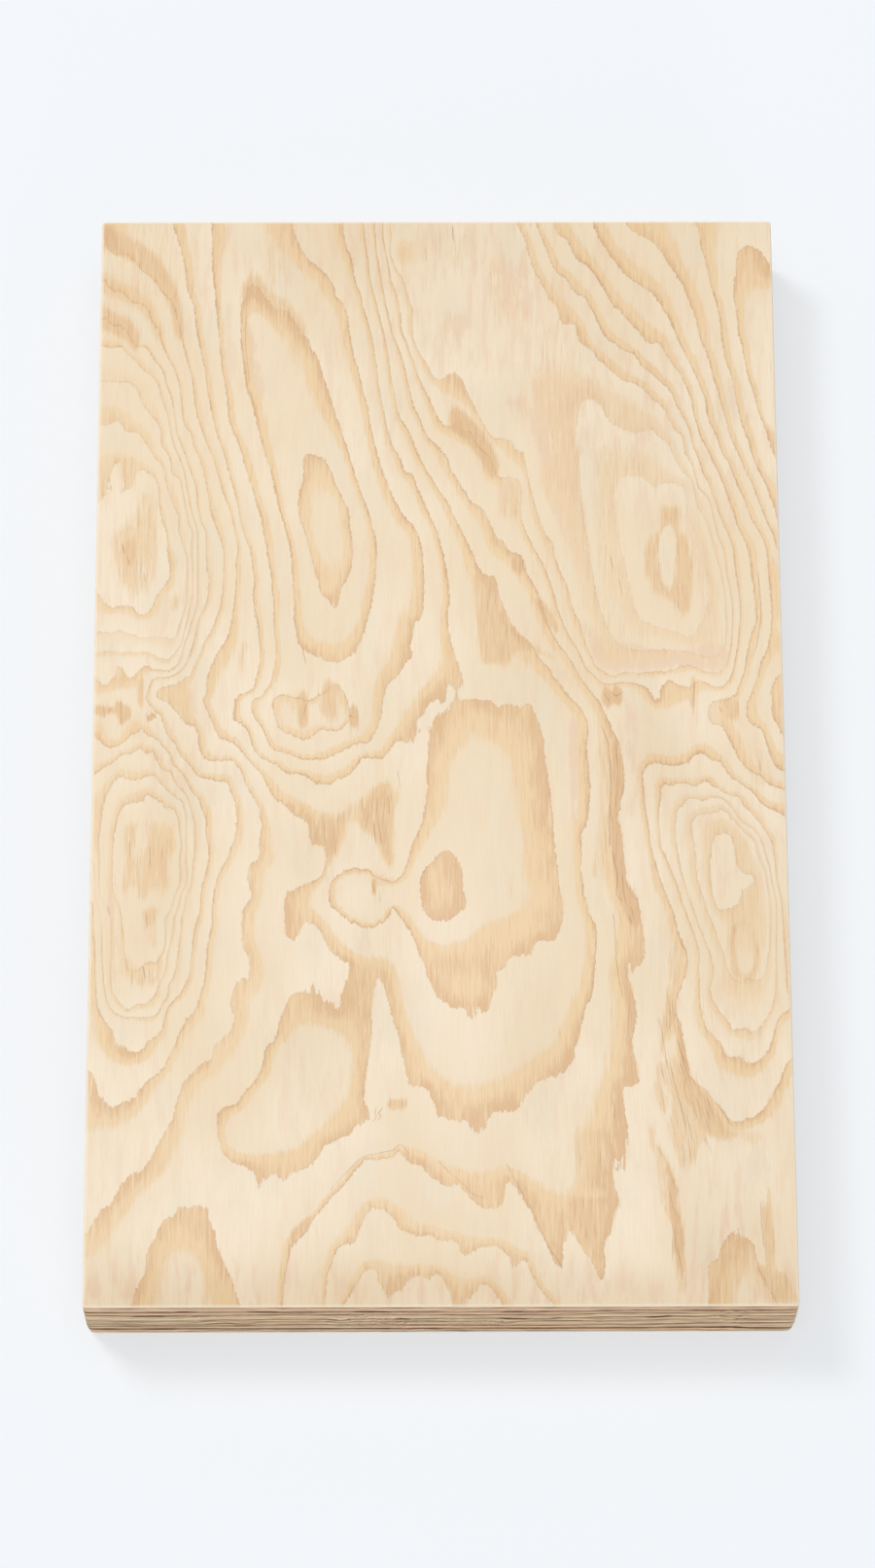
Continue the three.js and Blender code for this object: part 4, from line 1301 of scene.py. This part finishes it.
# The noises that the looks use: stretch of the place, octaves, offset and roughness.
NOISES = {
    # pine, along its grain
    "streak": ((1.7, 0.1, 1), 5, 7, 0.74),
    "fibre": ((5.5, 0.13, 1), 4, 21, 0.65),
    "strand": ((3.0, 0.2, 1), 3, 61, 0.65),
    "teeth": ((1.5, 0.2, 1), 3, 0, 0.66),
    "nick": ((3.6, 1.0, 1), 2, 71, 0.5),
    "broken": ((0.5, 0.16, 1), 3, 41, 0.6),
    "wobble": ((0.8, 0.8, 1), 2, 3, 0.5),
    "broad": ((0.035, 0.02, 1), 2, 3, 0.5),
    "ashen": ((0.13, 0.07, 1), 3, 51, 0.5),
    "mottle": ((0.55, 0.1, 1), 4, 11, 0.62),
    "blotch": ((0.6, 0.22, 1), 4, 81, 0.66),
    "patch": ((0.16, 0.05, 1), 3, 31, 0.5),
    # sawn edges and glue
    "bend": ((0.07, 0.07, 0.1), 3, 2, 0.5),
    "turn": ((0.5, 0.5, 0.5), 2, 9, 0.5),
    "fine": ((2.5, 2.5, 4.0), 2, 5, 0.5),
    "uneven": ((0.09, 0.09, 0.7), 3, 17, 0.6),
    "patchy": ((0.12, 0.12, 0.6), 3, 13, 0.5),
    "film": ((0.4, 0.4, 3.0), 3, 0, 0.5),
}


class Look:
    """A node material built by short calls. Places are in mm on the object."""

    def __init__(self, name, roughness, shine=0.25):
        self.material = bpy.data.materials.new(name)
        self.material.use_nodes = True
        self.tree = self.material.node_tree
        self.shader = self.tree.nodes["Principled BSDF"]
        self.shader.inputs["Roughness"].default_value = roughness
        self.shader.inputs["Specular IOR Level"].default_value = shine
        place = self.add("ShaderNodeTexCoord").outputs["Object"]
        self.place = self.vector("MULTIPLY", place, (1 / MM,) * 3)

    def add(self, kind, inputs=None, **settings):
        """A new node, with its settings and what goes into its sockets."""
        node = self.tree.nodes.new(kind)
        for key, value in settings.items():
            setattr(node, key, value)
        for key, value in (inputs or {}).items():
            self.feed(node.inputs[key], value)
        return node

    def feed(self, socket, value):
        """Links a socket to another one, or sets it to a plain number."""
        if isinstance(value, Value):
            value = value.socket
        if isinstance(value, bpy.types.NodeSocket):
            self.tree.links.new(value, socket)
        else:
            socket.default_value = value

    def vector(self, operation, a, b):
        """What an operation makes of two vectors."""
        return self.add("ShaderNodeVectorMath", {0: a, 1: b}, operation=operation).outputs[0]

    def texture(self, place, octaves, rough):
        """Noise at a place."""
        inputs = {"Vector": place, "Scale": 1.0, "Detail": octaves, "Roughness": rough}
        return Value(self, self.add("ShaderNodeTexNoise", inputs).outputs["Fac"])

    def noise(self, label):
        """One of the named noises."""
        stretch, octaves, offset, rough = NOISES[label]
        place = self.vector("MULTIPLY", self.place, stretch)
        if offset:
            place = self.vector("ADD", place, (offset,) * 3)
        return self.texture(place, octaves, rough)

    def value(self, label):
        """A value that the mesh holds at its points; 0 if it has none by that name."""
        return Value(self, self.add("ShaderNodeAttribute", attribute_name=label).outputs["Fac"])

    def ramp(self, value, low, high):
        """0 at low, 1 at high, smooth between."""
        inputs = {0: value, 1: low, 2: high}
        node = self.add("ShaderNodeMapRange", inputs, interpolation_type="SMOOTHSTEP")
        return Value(self, node.outputs[0])

    def mix(self, share, a, b, how="MIX"):
        """One colour changed by a share of another."""
        inputs = {0: share, 6: a, 7: b}
        return self.add("ShaderNodeMix", inputs, data_type="RGBA", blend_type=how).outputs[2]

    def finish(self, colour, height, distance, roughness=None):
        """Gives the shader its colour, its bump and, where it varies, its roughness."""
        bump = self.add("ShaderNodeBump", {"Height": height, "Distance": distance, "Strength": 1.0})
        self.feed(self.shader.inputs["Base Color"], colour)
        self.feed(self.shader.inputs["Normal"], bump.outputs[0])
        if roughness is not None:
            self.feed(self.shader.inputs["Roughness"], roughness)
        return self.material


def srgb(*colour):
    """The linear colour of an sRGB one out of 255."""
    shares = [c / 255 for c in colour]
    return (*(c / 12.92 if c <= 0.04 else ((c + 0.055) / 1.055) ** 2.4 for c in shares), 1.0)


CREAM, PALE, ASHEN = srgb(249, 232, 205), srgb(244, 224, 192), srgb(239, 226, 200)
BLUSH, WARM, PINK = srgb(240, 210, 180), srgb(240, 216, 182), srgb(239, 208, 178)
TAN, RUST = srgb(243, 213, 170), srgb(228, 190, 147)
RIM, DARK = srgb(184, 144, 106), srgb(172, 124, 84)
ARRIS_HIGHLIGHT = srgb(254, 236, 210)          # a painted highlight along the arris
WARM_AND_SHADED_TINT = (0.93, 0.905, 0.87, 1.0)   # what warmer wood, and the far end's painted shade, is multiplied by
COOLNESS = (1.04, 1.05, 1.10, 1.0)  # and paler wood
# The second brown serves the glue lines and the painted shade under the face's arris.
LINE_BROWN, GLUE_AND_SHADE_BROWN = srgb(124, 76, 43), srgb(88, 48, 26)
FILM_DARK, FILM_LIGHT = srgb(70, 45, 30), srgb(104, 74, 50)
FACE_BUMP, EDGE_BUMP, GLUE_BUMP = 0.00004, 0.00006, 0.00002  # depth of the bumps, in metres
FLAT_TOOTH = 3.5      # how far a ring's border is toothed, mm
FACE_TEETH, BACK_TEETH = 0.045, 0.22  # and at most, in rings
TOOTH = 1.15          # how much further it is where it crosses the grain, mm
NICK = 0.9            # how far its small nicks reach, mm
NICK_STEEPEST = 0.25  # rings in a mm from which the nicks grow no more


class Pine(Look):
    """Rotary-cut pine: colour follows the fraction of the ring age, streaked along the grain."""

    def __init__(self, name):
        super().__init__(name, 0.55)
        lean = self.add("ShaderNodeCombineXYZ", {0: self.value("lean")}).outputs[0]
        self.place = self.vector("ADD", self.place, lean)
        self.streak, self.fibre, self.strand = (self.noise(n) for n in ("streak", "fibre", "strand"))
        self.tone, self.share, self.steep = (self.value(n) for n in ("tone", "share", "steep"))
        self.broken = self.ramp(self.noise("broken"), 0.3, 0.6)

    def ring_part(self, teeth):
        """The fraction of the ring age, with the teeth and nicks of a ring's border."""
        reach = (self.steep * FLAT_TOOTH).least(teeth) + self.value("rise") * TOOTH
        nick = (self.noise("nick") - 0.5) * (self.steep.least(NICK_STEEPEST) * NICK)
        return (self.value("ring_age") + nick + (self.noise("teeth") - 0.5) * reach).fraction()

    def latewood(self, part):
        """How much dark wood there is: it begins softly and ends where the ring does."""
        begin = 1.0 - self.share * (self.streak * 0.9 + 0.65)
        late = self.ramp(part, begin, begin + self.share * 0.5)
        late = (late * (self.tone * 1.2)).held()
        late = (late * (self.ramp(self.streak, 0.35, 0.55) * 0.6 + 0.72)).held()
        return late * (1.0 - self.ramp(self.steep, 0.12, 0.5) * 0.2)

    def rustiness(self, part, late):
        """How rusty the dark wood is: most at the end of a ring, in patches and streaks."""
        rust = self.ramp(part, 1.0 - self.share * 0.6, 1.0) * late
        rust = rust * (self.ramp(self.noise("patch"), 0.38, 0.62) * 0.75 + 0.35)
        return (rust + (self.streak - 0.5) * 1.6 + (self.strand - 0.5) * 2.6).held()

    def rim(self, part):
        """The thin line at the end of a ring, broken and fainter where the rings are far apart."""
        apart = (1.0 - part) / self.steep.most(0.02)
        rim = self.ramp(apart, 0.34, 0.12) * (self.broken * 1.2 + 0.15)
        return (rim * (self.ramp(self.steep, 0.02, 0.2) + 0.3) * (self.tone * 0.22)).held()

    def stained(self, late, rusty):
        """The dark wood and its rust, with the stains' ragged patches added."""
        stain = self.value("stain")
        ragged = (self.streak - 0.5) * 1.8 + (self.strand - 0.5) * 1.6
        there = self.ramp(stain + ragged, 0.25, 0.65) * (stain * 1.3).held()
        late = (late.most(there) + stain.least(0.0)).held()
        return late, (rusty + there * (stain - 0.4).held() * 1.3).held()

    def pale_wood(self, part, marked):
        """The cream wood between the dark bands, on a marked face with warm mottles and a blush."""
        colour = self.mix(self.ramp(self.noise("broad"), 0.4, 0.6), CREAM, PALE)
        colour = self.mix(self.ramp(self.noise("ashen"), 0.5, 0.68) * 0.6, colour, ASHEN)
        mottle = self.ramp(self.noise("mottle"), 0.46, 0.64)
        if marked:
            mottle = mottle * (self.value("warmth_and_shade") + 0.7)
        colour = self.mix(mottle * 0.42, colour, BLUSH)
        colour = self.mix(self.ramp(part, 0.0, 0.9) * 0.28, colour, WARM)
        if marked:
            colour = self.mix(self.blush(), colour, PINK)
        return self.mix(self.ramp(self.fibre, 0.46, 0.72) * 0.45, colour, BLUSH)

    def blush(self):
        """How pinkish the cream wood is: patches with blotched borders."""
        blush = self.value("blush")
        blotch = (self.noise("blotch") - 0.5 + (self.streak - 0.5)) * 2.6
        return self.ramp(blush + blotch, 0.3, 0.55) * blush

    def torn(self, colour):
        """Fibres torn dark and pale where the wood is stained, more so where the grain leans."""
        torn = (self.value("stain") * 1.2).held() * (abs(self.value("lean")) * 0.5 + 0.6)
        torn.held()
        colour = self.mix(self.ramp(self.fibre, 0.57, 0.68) * torn, colour, RIM)
        return self.mix(self.ramp(self.fibre, 0.43, 0.33) * (torn * 0.6), colour, CREAM)

    def strokes(self):
        """How dark the thin lines in the wood are."""
        wobble = (self.noise("wobble") - 0.5) * 0.3
        line = Value(self, 0.0)
        for group in STROKES:
            side = abs(self.value(group + "_side") + wobble)
            line = line.most(self.ramp(side, 0.16, 0.04) * self.value(group + "_power"))
        return line * (self.broken * 0.6 + 0.4)

    def warmed_and_shaded(self, colour):
        """The colour where the wood is warmer as a whole, warmer still, or paler, with the far end's painted
        shade.
        """
        warmth_and_shade = self.value("warmth_and_shade")
        colour = self.mix(warmth_and_shade, colour, WARM_AND_SHADED_TINT, "MULTIPLY")
        colour = self.mix((warmth_and_shade - 1.0).held(), colour, WARM_AND_SHADED_TINT, "MULTIPLY")
        return self.mix((warmth_and_shade * -1.0).held(), colour, COOLNESS, "MULTIPLY")


def pine_look(name, teeth, marked):
    """Pine's look for a side of the panel; marked is for the face, whose mesh holds its marks."""
    look = Pine(name)
    part = look.ring_part(teeth)
    late = look.latewood(part)
    rusty = look.rustiness(part, late)
    if marked:
        late, rusty = look.stained(late, rusty)
    colour = look.mix(late, look.pale_wood(part, marked), look.mix(rusty, TAN, RUST))
    if marked:
        colour = look.torn(colour)
    colour = look.mix(look.rim(part), colour, RIM)
    if marked:
        colour = look.warmed_and_shaded(look.mix(look.strokes(), colour, DARK))
    # A painted highlight along the arris, on the face and on the back.
    colour = look.mix(look.ramp(look.value("highlight_band"), 0.1, 0.6) * 0.75, colour, ARRIS_HIGHLIGHT)
    return look.finish(colour, look.fibre * 0.7 + late * 0.5, FACE_BUMP, 0.62 - late * 0.08)


def ring_level(look, height):
    """Height among the growth layers: they bend slowly, and turn where the grain is disturbed."""
    turned = (look.noise("turn") - 0.5) * (look.value("swirl") * 5.0 + 0.3)
    return height + (look.noise("bend") - 0.5) * 4.0 + turned


def cut_rings(look, level):
    """Rings crossed by the saw: pale, then darker, then a sharp line."""
    rings = (level * 0.62).fraction()
    sharp = look.ramp(rings, 0.58, 0.95) * look.ramp(rings, 1.0, 0.97)
    return sharp * (look.ramp(look.noise("uneven"), 0.36, 0.62) * 0.85 + 0.25)


def thin_layers(look, x, y, level):
    """Noise drawn out along the layers, for the finer lines between the rings."""
    place = look.add("ShaderNodeCombineXYZ", {0: x * 0.1, 1: y * 0.1, 2: level * 3.2}).outputs[0]
    return look.texture(place, 3, 0.6)


def glue_stain_and_shade(look):
    """How brown the wood is next to a glue line, in patches, and under the face's arris, where it is painted
    shade.
    """
    near = look.ramp(look.value("seam"), 0.72, 0.12) * look.value("glue")
    return (near * (look.ramp(look.noise("patchy"), 0.35, 0.65) * 0.7 + 0.6)).held()


def edge_look(name, tint, spread, lines):
    """A ply's sawn edge: growth rings seen from the side as thin wandering lines."""
    look = Look(name, 0.8, 0.1)
    axes = look.add("ShaderNodeSeparateXYZ", {0: look.place}).outputs
    x, y, z = (Value(look, axis) for axis in axes)
    level = ring_level(look, z)
    layers, fine = thin_layers(look, x, y, level), look.noise("fine")
    light, dark = (srgb(*(min(255, c * k) for c in tint)) for k in (1 + spread, 1 - spread))
    colour = look.mix(look.ramp(layers, 0.38, 0.62), light, dark)
    colour = look.mix(cut_rings(look, level) * lines, colour, LINE_BROWN)
    colour = look.mix(look.ramp(layers, 0.56, 0.64) * (0.45 * lines), colour, LINE_BROWN)
    colour = look.mix(look.ramp(fine, 0.45, 0.7) * 0.25, colour, dark)
    # Brown by the glue lines, and painted shade under the face's arris.
    colour = look.mix(glue_stain_and_shade(look), colour, GLUE_AND_SHADE_BROWN)
    return look.finish(colour, fine + layers, EDGE_BUMP)


def glue_look():
    """The film of glue, in two dark browns."""
    look = Look("glue_film", 0.45)
    shade = look.noise("film")
    colour = look.mix(look.ramp(shade, 0.3, 0.7), FILM_DARK, FILM_LIGHT)
    return look.finish(colour, shade, GLUE_BUMP)


# ---------------------------------------------------------------- the panel

# Each ply's edge colour, how far it varies, and how strong its thin dark lines are.
EDGE_TINTS = {
    "face_veneer": ((243, 207, 170), 0.05, 0.7),
    "upper_crossband": ((230, 194, 157), 0.11, 0.8),
    "upper_core_veneer": ((236, 210, 172), 0.08, 0.6),
    "centre_crossband": ((230, 200, 163), 0.10, 0.8),
    "lower_core_veneer": ((233, 203, 165), 0.09, 0.65),
    "lower_crossband": ((236, 206, 171), 0.08, 0.7),
    "back_veneer": ((234, 201, 164), 0.09, 0.8),
}


def build_panel():
    """The seven plies, whose grain runs along and across in turn, and the glue between them."""
    fine, plain = Sheet(FACE_CELL), Sheet(PLAIN_CELL)
    face_look, back_look = pine_look("face_pine", FACE_TEETH, True), pine_look("back_pine", BACK_TEETH, False)
    for k, node in enumerate(PLIES):
        edge = edge_look(node + "_edge", *EDGE_TINTS[node])
        along = k % 2 == 0
        if node == "face_veneer":
            dressed_ply(node, fine, FACE_SEED, along, [face_look, edge], face_figure(fine), 1)
        elif node == "back_veneer":
            dressed_ply(node, plain, BACK_SEED, along, [back_look, edge], back_figure(plain), -1)
        else:
            dressed_ply(node, plain, INNER_SEED + k, along, [edge, edge])
    glue = glue_look()
    for k, (above, below) in enumerate(zip(PLIES, PLIES[1:])):
        glue_film(f"glue_film_{k + 1}", above, below, plain, glue)


# ---------------------------------------------------------------- camera, floor and light, in metres

CAMERA_PLACE = (-0.00551, -0.32339, 0.90619)
CAMERA_TURN = (0.342017, -0.00459292, -0.00375588)  # radians
LENS, SENSOR = 125.2, 36  # mm
CLIPS = (0.05, 20)
FLOOR_WHITE = srgb(245, 248, 251)
FLOOR_GLOW = 0.60      # the part of the floor's white that is its own
FLOOR_HALF = 3.0
FLOOR_BELOW = 0.00005  # so that the floor and the underside don't lie in one plane
WORLD_WHITE, WORLD_POWER = (0.93, 0.96, 1.0, 1), 0.39
LAMPS = {  # place, width of the disk and power of each; they all shine at the origin
    "key": ((-1.2, 1.0, 2.3), 0.9, 31),
    "overhead": ((0, 0, 2.4), 1.6, 16),
    "front": ((0.8, -2.7, 0.4), 1.2, 16),
}


def build_camera():
    """The photo's view: its place, turn and lens were fitted to the panel in the photo."""
    data = bpy.data.cameras.new("camera")
    data.lens, data.sensor_width, data.sensor_fit = LENS, SENSOR, "AUTO"
    data.clip_start, data.clip_end = CLIPS
    camera = bpy.data.objects.new("camera", data)
    camera.location = CAMERA_PLACE
    camera.rotation_euler = CAMERA_TURN
    bpy.context.scene.collection.objects.link(camera)
    bpy.context.scene.camera = camera


def build_floor():
    """A white floor. Part of its white is its own, for the camera, which softens the shadow."""
    look = Look("floor_white", 0.9, 0.0)
    look.shader.inputs["Base Color"].default_value = FLOOR_WHITE
    glow = look.add("ShaderNodeEmission", {"Color": FLOOR_WHITE, "Strength": 1.0})
    rays = look.add("ShaderNodeLightPath").outputs
    seen = (Value(look, rays["Is Camera Ray"]) + rays["Is Glossy Ray"] + rays["Is Transmission Ray"]).held()
    inputs = {0: seen * FLOOR_GLOW, 1: look.shader.outputs[0], 2: glow.outputs[0]}
    blend = look.add("ShaderNodeMixShader", inputs)
    look.feed(look.tree.nodes["Material Output"].inputs["Surface"], blend.outputs[0])
    mesh = bpy.data.meshes.new("floor")
    sides = ((-1, -1), (1, -1), (1, 1), (-1, 1))
    corners = [(x * FLOOR_HALF, y * FLOOR_HALF, -FLOOR_BELOW) for x, y in sides]
    mesh.from_pydata(corners, [], [(0, 1, 2, 3)])
    mesh.materials.append(look.material)
    floor = bpy.data.objects.new("floor", mesh)
    bpy.context.scene.collection.objects.link(floor)


def add_lamp(name, place, size, power):
    """A round lamp that shines at the origin."""
    data = bpy.data.lights.new(name, "AREA")
    data.shape, data.size, data.energy = "DISK", size, power
    lamp = bpy.data.objects.new(name, data)
    lamp.location = place
    bpy.context.scene.collection.objects.link(lamp)
    x, y, z = np.array(place, float) / np.linalg.norm(place)
    lamp.rotation_euler = (math.acos(z), 0, math.atan2(x, -y) if (x or y) else 0)


def build_light():
    """A plain studio: an even sky and three soft lamps."""
    world = bpy.data.worlds.new("studio")
    world.use_nodes = True
    colour, strength = world.node_tree.nodes["Background"].inputs[:2]
    colour.default_value, strength.default_value = WORLD_WHITE, WORLD_POWER
    bpy.context.scene.world = world
    for name, lamp in LAMPS.items():
        add_lamp(name, *lamp)


build_panel()
build_camera()
build_floor()
build_light()
view_settings = bpy.context.scene.view_settings
view_settings.view_transform = "Standard"
